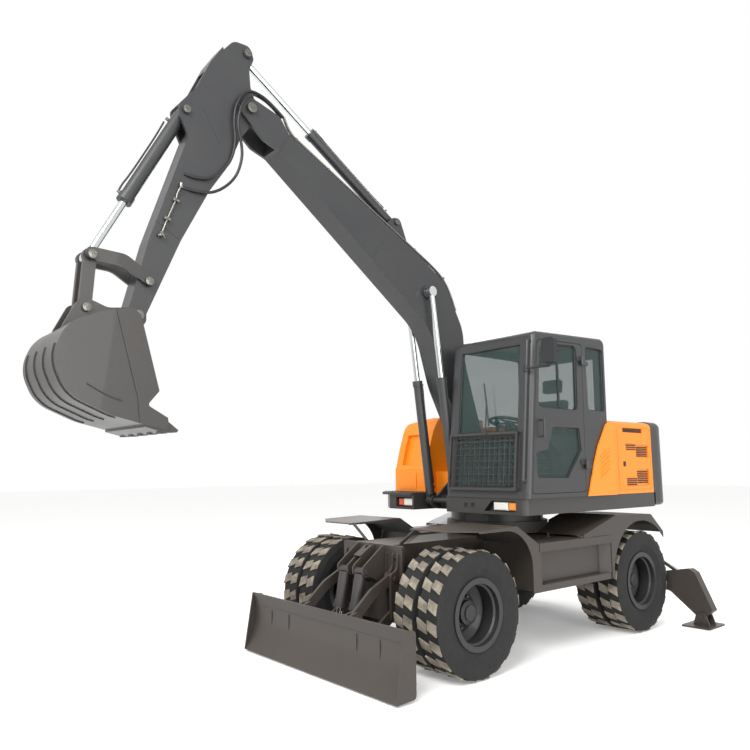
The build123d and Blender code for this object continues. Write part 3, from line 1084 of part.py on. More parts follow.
def mesh_guard():
    """The wire guard in front of the lower screen."""
    low, high = 1470.0, 2000.0
    y_low, y_high = 150.0, 975.0
    bar = 22.0
    stand_off = 26.0

    def band(z_low, z_high, thick, y0, y1, out):
        rows = [(front_x(z_low) + out, z_low, 0), (front_x(z_low) + out + thick, z_low, 0),
                (front_x(z_high) + out + thick, z_high, 0), (front_x(z_high) + out, z_high, 0)]
        return across(rows, y0, y1)

    guard = band(low, high, 22, y_low, y_high, stand_off)
    guard -= band(low + bar, high - bar, 60, y_low + bar, y_high - bar, stand_off - 10)
    wire = 5.0
    columns, rows_of_wire = 13, 8
    for i in range(1, columns):
        y = y_low + bar + (y_high - y_low - 2 * bar) * i / columns
        guard += band(low + bar - 4, high - bar + 4, wire, y - wire / 2, y + wire / 2, stand_off + 12)
    for i in range(1, rows_of_wire):
        z = low + bar + (high - low - 2 * bar) * i / rows_of_wire
        guard += band(z - wire / 2, z + wire / 2, wire, y_low + bar - 4, y_high - bar + 4, stand_off + 8)
    for y in (y_low + 14, y_high - 14):
        for z in (low + 14, high - 14):
            guard += round_bar((front_x(z) - 9, y, z), (front_x(z) + stand_off + 4, y, z), 9)
    return guard - across(cab_side(0), CAB_RIGHT_Y, CAB_LEFT_Y)


def mirror_set():
    """The cab's outside mirror on its bent arm."""
    rail_y, arm_z = CAB_LEFT_Y - 40, 2560
    post = (front_x(arm_z) + 20, CAB_LEFT_Y + 202)
    head = Pos(*post, arm_z + 140) * Box(56, 130, 225)
    head = fillet(head.edges().filter_by(Axis.X), 30)
    arm = round_bar((front_x(arm_z) + 54, rail_y, arm_z), (*post, arm_z), 9)
    arm += round_bar((*post, arm_z - 4), (*post, arm_z + 50), 8)
    clamp = round_bar((front_x(arm_z - 30) + 40, rail_y, arm_z - 30), (front_x(arm_z + 30) + 40, rail_y, arm_z + 30), 24)
    rail = round_bar((front_x(arm_z - 160) + 40, rail_y, arm_z - 160),
                     (front_x(arm_z + 140) + 40, rail_y, arm_z + 140), 14 + RUNNING)
    return head + (arm - rail) + (clamp - rail)


def seat():
    """The operator's seat: cushion, back and head rest on a suspension box."""
    y_low, y_high = CAB_MID_Y - 240, CAB_MID_Y + 240
    base = block(-160, 200, CAB_MID_Y - 170, CAB_MID_Y + 170, CAB_WALL + DECK_TOP_Z, 1760)
    cushion = [(-200, 1760, 40), (300, 1760, 50), (310, 1880, 50), (-190, 1860, 30)]
    back = [(-200, 1800, 30), (-90, 1850, 30), (-180, 2400, 60), (-290, 2390, 60)]
    body = base + across(cushion, y_low, y_high) + across(back, y_low + 15, y_high - 15)
    rest = [(-290, 2420, 30), (-195, 2430, 30), (-215, 2600, 50), (-300, 2590, 50)]
    stem = [(-262, 2380, 0), (-232, 2380, 0), (-240, 2440, 0), (-270, 2440, 0)]
    return body + across(rest, CAB_MID_Y - 130, CAB_MID_Y + 130) + across(stem, CAB_MID_Y - 60, CAB_MID_Y + 60)


def consoles():
    """The two arm consoles with their control levers."""
    body = []
    for side_y in (1, -1):
        near, far = CAB_MID_Y + side_y * 250, CAB_MID_Y + side_y * 375
        low, high = sorted((near, far))
        rows = [(-200, CAB_WALL + DECK_TOP_Z, 0), (120, CAB_WALL + DECK_TOP_Z, 0), (180, 1800, 60),
                (330, 1900, 30), (320, 1985, 30), (-180, 1975, 40)]
        piece = across(rows, low, high)
        lever_y = (low + high) / 2
        piece += round_bar((255, lever_y, 1950), (275, lever_y, 2120), 12)
        piece += Pos(278, lever_y, 2140) * Sphere(30)
        body.append(piece)
    return body


def steering_column():
    """The steering column and wheel in front of the seat."""
    foot_point = (640, CAB_MID_Y, CAB_WALL + DECK_TOP_Z)
    top_point = (470, CAB_MID_Y, 2105)
    run = Vector(*top_point) - Vector(*foot_point)
    column = round_bar(foot_point, top_point, 36)
    ring = [(170, -8, 0), (178, -15, 0), (192, -15, 0), (200, -8, 0),
            (200, 8, 0), (192, 15, 0), (178, 15, 0), (170, 8, 0)]
    rim = Plane(origin=top_point, z_dir=run) * Rot(90, 0, 0) * revolve(outline(ring), Axis.Y)
    spokes = Plane(origin=top_point, z_dir=run) * (Box(370, 30, 12) + Box(30, 370, 12) + Cylinder(45, 30))
    column = column - block(500, 900, 0, 1200, 1000, CAB_WALL + DECK_TOP_Z)
    pod = Pos(560, CAB_MID_Y + 0, 1770) * Box(60, 200, 120)
    return column + rim + spokes + pod


def lamps():
    """Head lamps and direction lamps in the deck's front bays."""
    x = DECK_FRONT_X - LAMP_BAY_DEEP
    out = []
    for low, high, deep in LAMPS:
        body = block(x, x + deep, low, high, DECK_LOW_Z + 36, DECK_TOP_Z - 38)
        out.append(fillet(body.faces().sort_by(Axis.X)[-1].edges(), 12))
    return out


# ------------------------------------------------------------------ boom, arm and bucket
def front_cylinder(base, eye, offset, mouth, barrel_r, rod_r, travel_in, eye_r, widths, pin_r):
    """A cylinder in the boom's plane, offset sideways from it."""
    y = BOOM_Y + offset
    return hydraulic((base[0], y, base[1]), (eye[0], y, eye[1]), mouth, barrel_r, rod_r, travel_in,
                     eye_r, widths, pin_r, ACROSS)


ARM_SLOT = ARM_HALF + SIDE_GAP
BOOM_BOSS_R = 70.0
ARM_CYL_PLATE_Y = 62.0


def boom():
    """The curved boom with its foot, fork nose and cylinder brackets."""
    foot_x, foot_z = BOOM_FOOT
    nose_x, nose_z = BOOM_NOSE
    rows = [
        (foot_x + 108, foot_z + 30, 0), (725, 2510, 900), (905, 3085, 600), (2743, 4442, 60),
        (2900, 4492, 60), (nose_x + 62, nose_z - 84, 60), (nose_x - 20, nose_z + 102, 60), (2742, 4762, 40),
        (2641, 4627, 60), (1114, 3860, 300), (690, 3610, 420), (425, 3130, 420), (405, 2780, 900),
        (foot_x - 108, foot_z + 20, 0),
    ]
    body = across(rows, BOOM_Y - BOOM_HALF, BOOM_Y + BOOM_HALF)
    body += cross_bar(BOOM_FOOT, 112, BOOM_Y - BOOM_HALF, BOOM_Y + BOOM_HALF)
    body += cross_bar(BOOM_NOSE, 104, BOOM_Y - BOOM_HALF, BOOM_Y + BOOM_HALF)
    body -= block(nose_x - 260, nose_x + 370, BOOM_Y - ARM_SLOT, BOOM_Y + ARM_SLOT, nose_z - 534, nose_z + 366)
    body -= cross_bar(BOOM_FOOT, FOOT_PIN_R + RUNNING, BOOM_Y - 200, BOOM_Y + 200)
    body += cross_bar(BOOM_NOSE, ARM_PIN_R, BOOM_Y - BOOM_HALF - 24, BOOM_Y + BOOM_HALF + 24)
    for low, high in ((BOOM_Y - BOOM_HALF - 23, BOOM_Y - BOOM_HALF), (BOOM_Y + BOOM_HALF, BOOM_Y + BOOM_HALF + 23)):
        body += cross_bar(BOOM_CYL_TOP, BOOM_BOSS_R, low, high)
    x, z = ARM_CYL_FOOT
    bracket = [(x - 190, z - 300, 0), (x + 210, z - 120, 0), (x + 60, z + 30, 55), (x - 40, z + 55, 50)]
    for low in (BOOM_Y - ARM_CYL_PLATE_Y - 22, BOOM_Y + ARM_CYL_PLATE_Y):
        body += across(bracket, low, low + 22)
    return body + cross_bar(ARM_CYL_FOOT, 30, BOOM_Y - ARM_CYL_PLATE_Y - 34, BOOM_Y + ARM_CYL_PLATE_Y + 34)


ARM_PIN_R = 35.0
ROD_SLOT = 42.0
ARM_PLATE = 24.0
LINK_PIN_R = 25.0


def arm():
    """The arm: a tapering box with a rounded head and open plates for its cylinders."""
    nose_x, nose_z = BOOM_NOSE
    rod_x, rod_z = ARM_CYL_ROD
    low, high = BOOM_Y - ARM_HALF, BOOM_Y + ARM_HALF
    box = [
        (3286, 5190, 30), (3570, 4337, 200), (3867, 3392, 300), (ARM_TIP[0] + 66, ARM_TIP[1] + 40, 30),
        (ARM_TIP[0] - 60, ARM_TIP[1] - 5, 0), (3609, 3447, 200), (3378, 3915, 200), (3205, 4190, 200),
        (3110, 4443, 100), (nose_x - 70, nose_z - 60, 60), (nose_x - 70, nose_z + 60, 60), (3022, 4950, 100),
        (3036, 5100, 60), (rod_x - 66, rod_z - 30, 40), (rod_x - 30, rod_z + 76, 60),
        (3190, 5310, 100),
    ]
    plates = [
        (rod_x + 229, rod_z - 28, 0), (rod_x + 336, rod_z - 202, 200),
        (BUCKET_CYL_TOP[0] - 80, BUCKET_CYL_TOP[1] + 221, 200), (BUCKET_CYL_TOP[0] + 64, BUCKET_CYL_TOP[1] + 30, 50),
        (BUCKET_CYL_TOP[0] + 50, BUCKET_CYL_TOP[1] - 70, 50), (3560, 4290, 0), (3250, 5100, 0),
    ]
    body = across(box, low, high) + across(plates, low, high)
    body += cross_bar(ARM_TIP, 68, low, high)
    rod_slot = [(rod_x - 211, rod_z - 203, 0), (rod_x + 89, rod_z - 203, 30), (rod_x + 176, rod_z, 30),
                (rod_x + 230, rod_z + 157, 0), (rod_x - 211, rod_z + 157, 0)]
    body -= across(rod_slot, BOOM_Y - ROD_SLOT, BOOM_Y + ROD_SLOT)
    slot = [
        (3420, 4950, 0), (3900, 4950, 0), (3900, 4200, 0), (3618, 4200, 0), (3500, 4560, 60), (3452, 4730, 60),
    ]
    body -= across(slot, BOOM_Y - ARM_HALF + ARM_PLATE, BOOM_Y + ARM_HALF - ARM_PLATE)
    for spot, radius in ((BOOM_NOSE, ARM_PIN_R), (ROCKER_PIN, LINK_PIN_R), (ARM_TIP, LINK_PIN_R + 3)):
        body -= cross_bar(spot, radius + RUNNING, low - 20, high + 20)
    body += cross_bar(BUCKET_CYL_TOP, LINK_PIN_R, low - 16, high + 16)
    for y0, y1 in ((low - 16, low), (high, high + 16)):
        body += cross_bar(ARM_CYL_ROD, 44, y0, y1)
        body += cross_bar(BUCKET_CYL_TOP, 38, y0, y1)
    return body


ROCKER_IN = ARM_HALF + SIDE_GAP
ROCKER_SHEET = 26.0
ROCKER_OUT = ROCKER_IN + ROCKER_SHEET


def curved_link(start, end, bow, half_width):
    """Rows of a bowed bar outline between two pins."""
    ax, az = start
    bx, bz = end
    length = math.hypot(bx - ax, bz - az)
    ux, uz = (bx - ax) / length, (bz - az) / length
    local = [(-half_width, -half_width, half_width * 0.9), (length / 2, bow - half_width, length / 3),
             (length + half_width, -half_width, half_width * 0.9),
             (length + half_width, half_width, half_width * 0.9), (length / 2, bow + half_width, length / 3),
             (-half_width, half_width, half_width * 0.9)]
    return [(ax + s * ux - t * uz, az + s * uz + t * ux, r) for s, t, r in local]


def rockers():
    """The two bowed rockers on the arm, joined by their pin."""
    rows = curved_link(LINK_PIN, ROCKER_PIN, -70, 46)
    body = cross_bar(ROCKER_PIN, LINK_PIN_R, BOOM_Y - ROCKER_OUT - 12, BOOM_Y + ROCKER_OUT + 12)
    for low in (BOOM_Y - ROCKER_OUT, BOOM_Y + ROCKER_IN):
        body += across(rows, low, low + ROCKER_SHEET)
    for side_y in (1, -1):
        ends = sorted((BOOM_Y + side_y * ROCKER_OUT, BOOM_Y + side_y * (ROCKER_OUT + 14)))
        body += cross_bar(LINK_PIN, 36, *ends)
    return body


LINK_EYE = 38.0


def bucket_link():
    """The H-shaped link between rockers and bucket."""
    body = cross_bar(BUCKET_LINK_PIN, 56, BOOM_Y - ARM_HALF + 2, BOOM_Y + ARM_HALF - 2)
    rows = curved_link(BUCKET_LINK_PIN, LINK_PIN, 0, 44)
    for low, high in ((BOOM_Y - ARM_HALF + 2, BOOM_Y - LINK_EYE - 6), (BOOM_Y + LINK_EYE + 6, BOOM_Y + ARM_HALF - 2)):
        body += across(rows, low, high)
        body += cross_bar(LINK_PIN, 54, low, high)
    web = curved_link((BUCKET_LINK_PIN[0], BUCKET_LINK_PIN[1] + 40), (LINK_PIN[0], LINK_PIN[1] - 175), 0, 20)
    body += across(web, BOOM_Y - LINK_EYE - 8, BOOM_Y + LINK_EYE + 8)
    return body - cross_bar(BUCKET_LINK_PIN, LINK_PIN_R + RUNNING, BOOM_Y - 200, BOOM_Y + 200)


BUCKET_EAR_IN = ARM_HALF + SIDE_GAP
BUCKET_EAR_OUT = BUCKET_EAR_IN + 26.0


def bucket():
    """The bucket: curved wrapper with wear strips, side plates, ears with pins, lip and teeth."""
    tip_x, tip_z = ARM_TIP
    back = [(4500, 2640, 250), (4590, 2400, 270), (4480, 2160, 280), (4200, 2040, 400)]
    middle_x, middle_z = 4200, 2380
    inner_back = [(middle_x + 0.994 * (x - middle_x), middle_z + 0.994 * (z - middle_z), radius - 2)
                  for x, z, radius in back]
    outer = [(4050, 2690, 0), (4260, 2732, 110), *back, (3830, 1950, 0), (3790, 1985, 0)]
    left, right = BOOM_Y - BUCKET_HALF, BOOM_Y + BUCKET_HALF
    shape = outline(outer)
    hollow = offset(shape, -BUCKET_SHEET)
    mouth = outline([(3600, 2030, 0), (3838, 1968, 0), (4100, 2100, 0), (4100, 2600, 0), (4064, 2697, 0),
                     (4010, 2800, 0), (3600, 2800, 0)])
    plane = Plane(origin=(0, right, 0), x_dir=(1, 0, 0), z_dir=ACROSS)
    body = extrude(plane * (shape - hollow - mouth), 2 * BUCKET_HALF)
    strip = offset(shape, WEAR_SHEET) - offset(shape, -BUCKET_SHEET / 2)
    strip &= outline([(4150, 1900, 0), (4700, 1900, 0), (4700, 2560, 0), (4150, 2300, 0)])
    for i in range(WEAR_STRIPS):
        y = left + 70 + (2 * BUCKET_HALF - 140) * i / (WEAR_STRIPS - 1)
        band = Plane(origin=(0, y + 22, 0), x_dir=(1, 0, 0), z_dir=ACROSS)
        body += extrude(band * strip, 44)
    side = [
        (4020, 2745, 40), (3868, 2220, 10), (3950, 2118, 20), (3800, 2036, 0), (3790, 1985, 0), (3830, 1950, 0),
        *reversed(inner_back), (4260, 2742, 80), (4080, 2790, 40),
    ]
    cutter = [(3600, 1900, 0), (3985, 1900, 0), (4021, 2168, 0), (4191, 2762, 0), (4210, 2860, 0), (3600, 2860, 0)]
    for low in (left, right - BUCKET_SHEET - 4):
        body += across(side, low, low + BUCKET_SHEET + 4)
    for low, high in ((left - 6, left + 6), (right - 6, right + 6)):
        body += across(side, low, high) & across(cutter, low, high)
    ear = [
        (tip_x - 60, tip_z - 72, 60), (tip_x - 60, tip_z + 68, 60), (BUCKET_LINK_PIN[0] - 150, tip_z + 24, 120),
        (BUCKET_LINK_PIN[0] - 20, BUCKET_LINK_PIN[1] + 64, 50), (BUCKET_LINK_PIN[0] + 64, BUCKET_LINK_PIN[1] + 40, 50),
        (4450, 2670, 60), (4470, 2620, 0), (4240, 2715, 60), (4060, 2690, 30),
    ]
    for low, high in ((BOOM_Y - BUCKET_EAR_OUT, BOOM_Y - BUCKET_EAR_IN), (BOOM_Y + BUCKET_EAR_IN, BOOM_Y + BUCKET_EAR_OUT)):
        body += across(ear, low, high)
    body += cross_bar(ARM_TIP, LINK_PIN_R + 3, BOOM_Y - BUCKET_EAR_OUT - 14, BOOM_Y + BUCKET_EAR_OUT + 14)
    body += cross_bar(BUCKET_LINK_PIN, LINK_PIN_R, BOOM_Y - BUCKET_EAR_OUT - 14, BOOM_Y + BUCKET_EAR_OUT + 14)
    lip = [(3774, 1976, 0), (3822, 1932, 0), (3960, 1966, 0), (3960, 1994, 0), (3842, 1984, 0), (3788, 2002, 0)]
    body += across(lip, left, right)
    tooth = [(3712, 1952, 0), (3724, 1936, 0), (3850, 1928, 0), (3856, 1996, 0), (3790, 2010, 0)]
    for i in range(TOOTH_COUNT):
        y = left + 40 + (2 * BUCKET_HALF - 80) * i / (TOOTH_COUNT - 1)
        body += across(tooth, y - 30, y + 30)
    return body


# ------------------------------------------------------------------ export
def write(name, shape):
    """Writes one node, moved from the slew centre to the machine's own origin."""
    solids = []
    for piece in (shape if isinstance(shape, (list, tuple)) else [shape]):
        solids += piece.solids()
    moved = [Pos(ORIGIN_X, 0, 0) * solid for solid in solids]
    export_step(moved[0] if len(moved) == 1 else Compound(children=moved), f"parts/{name}.step")


def build():
    """Every node's name and shape."""
    tyres, rims = twin_tyres(), twin_rims()
    front_tyres, front_rims = on_axle(FRONT_AXLE_X, tyres), on_axle(FRONT_AXLE_X, rims)
    rear_tyres, rear_rims = on_axle(REAR_AXLE_X, tyres), on_axle(REAR_AXLE_X, rims)
    leg_barrel, leg_rod = leg_cylinder()
    pairs = {
        "front_tyres": front_tyres, "front_rims": front_rims, "rear_tyres": rear_tyres,
        "rear_rims": rear_rims, "front_knuckle": knuckle(), "stabiliser_leg": leg(),
        "stabiliser_foot": foot(), "stabiliser_barrel": leg_barrel, "stabiliser_rod": leg_rod,
    }
    nodes = {}
    for name, shape in pairs.items():
        nodes[name + "_left"] = shape
        other = [mirrored(piece) for piece in shape] if isinstance(shape, list) else mirrored(shape)
        nodes[name + "_right"] = other
    blade_barrels, blade_rods = blade_cylinders()
    sides = (BOOM_CYL_Y, -BOOM_CYL_Y)
    boom_sets = [front_cylinder(BOOM_CYL_FOOT, BOOM_CYL_TOP, y, 1250.0, 46, 30, 660, 52, (50, 58), 0) for y in sides]
    foot_bar = cross_bar(BOOM_CYL_FOOT, BOOM_PIN_R, BOOM_Y - BOOM_CYL_Y - 34, BOOM_Y + BOOM_CYL_Y + 34)
    arm_barrel, arm_rod = front_cylinder(ARM_CYL_FOOT, ARM_CYL_ROD, 0, 1209.0, 50, 30, 570, 54, (116, 70), 30)
    bucket_barrel, bucket_rod = front_cylinder(
        BUCKET_CYL_TOP, LINK_PIN, 0, 960.0, 54, 30, 300, 46, (112, 2 * LINK_EYE - 4), LINK_PIN_R)
    left_fenders = fenders()
    nodes.update({
        "chassis_frame": chassis_frame(), "slew_ring": slew_ring(),
        "fenders": left_fenders + [mirrored(piece) for piece in left_fenders],
        "side_lockers": [lockers(), mirrored(lockers())],
        "front_axle": front_axle(), "rear_axle": rear_axle(), "tie_rod": tie_rod(), "drive_line": drive_line(),
        "blade": blade(), "blade_upper_arms": blade_upper_arms(), "blade_lower_arms": blade_lower_arms(),
        "blade_barrels": blade_barrels, "blade_rods": blade_rods,
        "deck": deck(), "counterweight": counterweight(), "engine_hood": engine_hood(), "engine": engine(),
        "side_panel": side_panel(), "tank_housing": tank_housing(), "step_deck": step_deck(),
        "cab_shell": cab_shell(), "cab_door": cab_door(), "cab_glass": cab_glass(), "door_glass": door_glass(),
        "mesh_guard": mesh_guard(), "cab_mirror": mirror_set(), "seat": seat(), "consoles": consoles(),
        "steering_column": steering_column(), "lamps": lamps(),
        "boom": boom(), "arm": arm(), "rockers": rockers(), "bucket_link": bucket_link(), "bucket": bucket(),
        "boom_barrels": boom_sets[0][0] + foot_bar + boom_sets[1][0], "boom_rods": [s[1] for s in boom_sets],
        "arm_barrel": arm_barrel, "arm_rod": arm_rod, "bucket_barrel": bucket_barrel, "bucket_rod": bucket_rod,
    })
    return nodes


if __name__ == "__main__":
    os.makedirs("parts", exist_ok=True)
    for node_name, node_shape in build().items():
        write(node_name, node_shape)
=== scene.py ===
# %% [markdown]
# # A wheeled excavator
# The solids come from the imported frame: every plate, pin and cylinder is already there at its real size. This
# script gives them their finishes, adds the things that bend or are too fine for solids, such as hoses,
# pipes, gaskets and weld beads, and sets a plain stage with soft lamps and a camera.

import math

import bpy
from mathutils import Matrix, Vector


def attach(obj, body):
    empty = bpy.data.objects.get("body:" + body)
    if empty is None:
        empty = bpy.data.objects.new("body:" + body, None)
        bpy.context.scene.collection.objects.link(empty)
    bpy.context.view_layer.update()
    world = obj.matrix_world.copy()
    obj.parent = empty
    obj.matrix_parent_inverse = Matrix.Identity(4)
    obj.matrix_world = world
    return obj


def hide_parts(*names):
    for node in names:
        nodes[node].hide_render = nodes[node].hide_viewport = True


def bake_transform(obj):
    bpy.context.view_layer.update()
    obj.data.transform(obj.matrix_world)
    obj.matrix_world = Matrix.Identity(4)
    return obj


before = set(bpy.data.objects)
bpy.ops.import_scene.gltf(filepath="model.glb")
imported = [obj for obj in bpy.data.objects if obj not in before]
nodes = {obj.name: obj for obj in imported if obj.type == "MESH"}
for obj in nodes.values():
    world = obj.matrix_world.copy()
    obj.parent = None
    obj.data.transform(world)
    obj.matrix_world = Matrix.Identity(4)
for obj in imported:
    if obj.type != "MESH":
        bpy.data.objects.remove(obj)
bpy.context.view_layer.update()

# %% [markdown]
# ## Colours and nodes
# Paint charts give colours as sRGB hex values, but shaders work in linear light, so one function converts
# them. Another adds a shader node with its settings and links in one call, which keeps each finish short.
# The machine is laid out in millimetres from its slew centre, and the axles' places serve paint and parts.

# %% Colour and node helpers
MM = 0.001
SLEW_X = -1315.0
AXLES = {"front": 1490.0, "rear": -1039.0}
AXLE_Z = 509.0


def tint(code):
    """An sRGB hex colour as linear RGBA."""
    parts = [int(code[i:i + 2], 16) / 255 for i in (1, 3, 5)]
    linear = [c / 12.92 if c <= 0.04045 else ((c + 0.055) / 1.055) ** 2.4 for c in parts]
    return (*linear, 1.0)


def add_node(tree, kind, settings=None, links=None):
    """A shader node with values for its properties or sockets and links to its inputs."""
    node = tree.nodes.new(kind)
    for name, value in (settings or {}).items():
        if isinstance(name, int) or name in node.inputs:
            node.inputs[name].default_value = value
        else:
            setattr(node, name, value)
    for name, source in (links or {}).items():
        tree.links.new(source, node.inputs[name])
    return node


def new_finish(name):
    """An empty material with its shader and output: (material, node tree, shader)."""
    material = bpy.data.materials.new(name)
    material.use_nodes = True
    tree = material.node_tree
    tree.nodes.clear()
    shader = add_node(tree, "ShaderNodeBsdfPrincipled")
    add_node(tree, "ShaderNodeOutputMaterial", links={"Surface": shader.outputs[0]})
    return material, tree, shader


def ramp(tree, source, stops):
    """A colour ramp over (position, colour) stops."""
    node = add_node(tree, "ShaderNodeValToRGB", links={"Fac": source})
    node.color_ramp.elements[0].position, node.color_ramp.elements[0].color = stops[0]
    node.color_ramp.elements[1].position, node.color_ramp.elements[1].color = stops[-1]
    for position, colour in stops[1:-1]:
        node.color_ramp.elements.new(position).color = colour
    return node.outputs["Color"]


print("helpers ready")

# %% [markdown]
# ## Paint
# The machine is sprayed with a dark grey machine enamel over steel plate. Sprayed enamel has a fine orange
# peel, which softens reflections, and site dust settles on faces that look up. Noise in real millimetres
# drives both, and the parts near the ground have an enamel of their own with more and browner dust.

# %% Sprayed enamel
def enamel(name, base, dusty, rough, dust_amount, peel_mm=2.5):
    """Sprayed machine enamel with a light film of dust."""
    material, tree, shader = new_finish(name)
    place = add_node(tree, "ShaderNodeTexCoord").outputs["Object"]
    cloud = add_node(tree, "ShaderNodeTexNoise", {"Scale": 1 / (420 * MM), "Detail": 6.0, "Roughness": 0.62},
                     {"Vector": place})
    speck = add_node(tree, "ShaderNodeTexNoise", {"Scale": 1 / (9 * MM), "Detail": 3.0}, {"Vector": place})
    facing = add_node(tree, "ShaderNodeSeparateXYZ",
                      links={"Vector": add_node(tree, "ShaderNodeNewGeometry").outputs["Normal"]})
    upward = add_node(tree, "ShaderNodeMath", {"operation": "MULTIPLY_ADD", 1: 0.45, 2: 0.1},
                      {0: facing.outputs["Z"]})
    mottled = add_node(tree, "ShaderNodeMath", {"operation": "MULTIPLY_ADD"},
                       {0: speck.outputs["Fac"], 1: cloud.outputs["Fac"], 2: upward.outputs[0]})
    film = add_node(tree, "ShaderNodeMath", {"operation": "MULTIPLY", 1: dust_amount, "use_clamp": True},
                    {0: mottled.outputs[0]})
    colour = add_node(tree, "ShaderNodeMix", {"data_type": "RGBA"}, {"Factor": film.outputs[0]})
    colour.inputs["A"].default_value = tint(base)
    colour.inputs["B"].default_value = tint(dusty)
    tree.links.new(colour.outputs["Result"], shader.inputs["Base Color"])
    dull = add_node(tree, "ShaderNodeMath", {"operation": "MULTIPLY_ADD", 1: 0.3, 2: rough},
                    {0: cloud.outputs["Fac"]})
    tree.links.new(dull.outputs[0], shader.inputs["Roughness"])
    peel = add_node(tree, "ShaderNodeTexNoise", {"Scale": 1 / (peel_mm * 4 * MM), "Detail": 2.0},
                    {"Vector": place})
    bump = add_node(tree, "ShaderNodeBump", {"Strength": 0.12, "Distance": 0.4 * MM},
                    {"Height": peel.outputs["Fac"]})
    tree.links.new(bump.outputs[0], shader.inputs["Normal"])
    shader.inputs["Coat Weight"].default_value = 0.15
    return material


grey_enamel = enamel("grey_machine_enamel", "#262423", "#5f5850", 0.30, 0.30)
blue_grey_enamel = enamel("cool_grey_machine_enamel", "#242527", "#5c5b5a", 0.28, 0.28)
chassis_enamel = enamel("chassis_enamel", "#231f1d", "#675c50", 0.38, 0.42)
orange_enamel = enamel("orange_enamel", "#f08404", "#f0a040", 0.26, 0.16)
wheel_enamel = enamel("wheel_enamel", "#141518", "#4c4843", 0.36, 0.3)
print("enamels", grey_enamel.name, chassis_enamel.name, orange_enamel.name)

# %% [markdown]
# ## Metal, rubber, glass and plastic
# Hard chrome on the piston rods is almost a mirror. Tyre rubber is a matt black compound that keeps pale site
# dust on its lugs. The panes are tempered glass with a green cast, which comes from iron in the melt.

# %% Chrome, rubber, glass and plastics
def plain(name, base, rough, metallic=0.0, grain_mm=1.0, depth_mm=0.1, strength=0.2):
    """A finish of one material with a fine grain."""
    material, tree, shader = new_finish(name)
    place = add_node(tree, "ShaderNodeTexCoord").outputs["Object"]
    grain = add_node(tree, "ShaderNodeTexNoise", {"Scale": 1 / (grain_mm * 4 * MM), "Detail": 3.0},
                     {"Vector": place})
    shade = ramp(tree, grain.outputs["Fac"], [(0.2, tint(base)), (0.8, [c * 1.25 for c in tint(base)])])
    tree.links.new(shade, shader.inputs["Base Color"])
    shader.inputs["Metallic"].default_value = metallic
    shader.inputs["Roughness"].default_value = rough
    bump = add_node(tree, "ShaderNodeBump", {"Strength": strength, "Distance": depth_mm * MM},
                    {"Height": grain.outputs["Fac"]})
    tree.links.new(bump.outputs[0], shader.inputs["Normal"])
    return material


hard_chrome = plain("hard_chrome", "#c9cccd", 0.09, 1.0, 3.0, 0.02, 0.05)
zinc_steel = plain("zinc_plated_steel", "#73726d", 0.38, 1.0, 2.0)
black_abs = plain("black_textured_abs", "#17181a", 0.55, 0.0, 1.5, 0.15, 0.35)
hose_rubber = plain("hose_rubber", "#141416", 0.5, 0.0, 1.0, 0.1, 0.2)
seat_cloth = plain("seat_cloth", "#26272b", 0.85, 0.0, 1.2, 0.4, 0.6)


def tinted_glass(name, colour, rough=0.02):
    """Tempered glass with a slight green cast, thin enough to be drawn as a clear sheet."""
    material, tree, shader = new_finish(name)
    shader.inputs["Base Color"].default_value = tint(colour)
    shader.inputs["Roughness"].default_value = rough
    shader.inputs["IOR"].default_value = 1.52
    shader.inputs["Alpha"].default_value = 0.34
    shader.inputs["Specular IOR Level"].default_value = 0.8
    return material


cab_pane = tinted_glass("green_tempered_glass", "#29423f")


LUG_FOOT_R = 491.0
LUG_TIP_R = 503.0


def dusty_rubber(name, axle_x):
    """Tyre rubber, black on the sidewall and pale with dust as far from the axle as the lugs' tips."""
    material, tree, shader = new_finish(name)
    place = add_node(tree, "ShaderNodeTexCoord").outputs["Object"]
    cloud = add_node(tree, "ShaderNodeTexNoise", {"Scale": 1 / (60 * MM), "Detail": 8.0, "Roughness": 0.7},
                     {"Vector": place})
    shade = ramp(tree, cloud.outputs["Fac"], [(0.3, tint("#0b0c0d")), (0.75, tint("#1d1c1b"))])
    level = add_node(tree, "ShaderNodeVectorMath", {"operation": "MULTIPLY", 1: (1.0, 0.0, 1.0)}, {0: place})
    axle = ((axle_x + SLEW_X) * MM, 0.0, AXLE_Z * MM)
    reach = add_node(tree, "ShaderNodeVectorMath", {"operation": "DISTANCE", 1: axle},
                     {0: level.outputs["Vector"]})
    top = add_node(tree, "ShaderNodeMapRange", {"From Min": LUG_FOOT_R * MM, "From Max": LUG_TIP_R * MM},
                   {"Value": reach.outputs["Value"]})
    dust = ramp(tree, cloud.outputs["Fac"], [(0.25, tint("#5d554a")), (0.7, tint("#a79d8d"))])
    mixed = add_node(tree, "ShaderNodeMix", {"data_type": "RGBA"},
                     {"Factor": top.outputs["Result"], "A": shade, "B": dust})
    tree.links.new(mixed.outputs["Result"], shader.inputs["Base Color"])
    shader.inputs["Roughness"].default_value = 0.8
    bump = add_node(tree, "ShaderNodeBump", {"Strength": 0.5, "Distance": 0.8 * MM},
                    {"Height": cloud.outputs["Fac"]})
    tree.links.new(bump.outputs[0], shader.inputs["Normal"])
    return material


front_rubber = dusty_rubber("front_tyre_rubber", AXLES["front"])
rear_rubber = dusty_rubber("rear_tyre_rubber", AXLES["rear"])

RED_LENS_END_Y = -558.0
AMBER_LENS_START_Y = 828.0


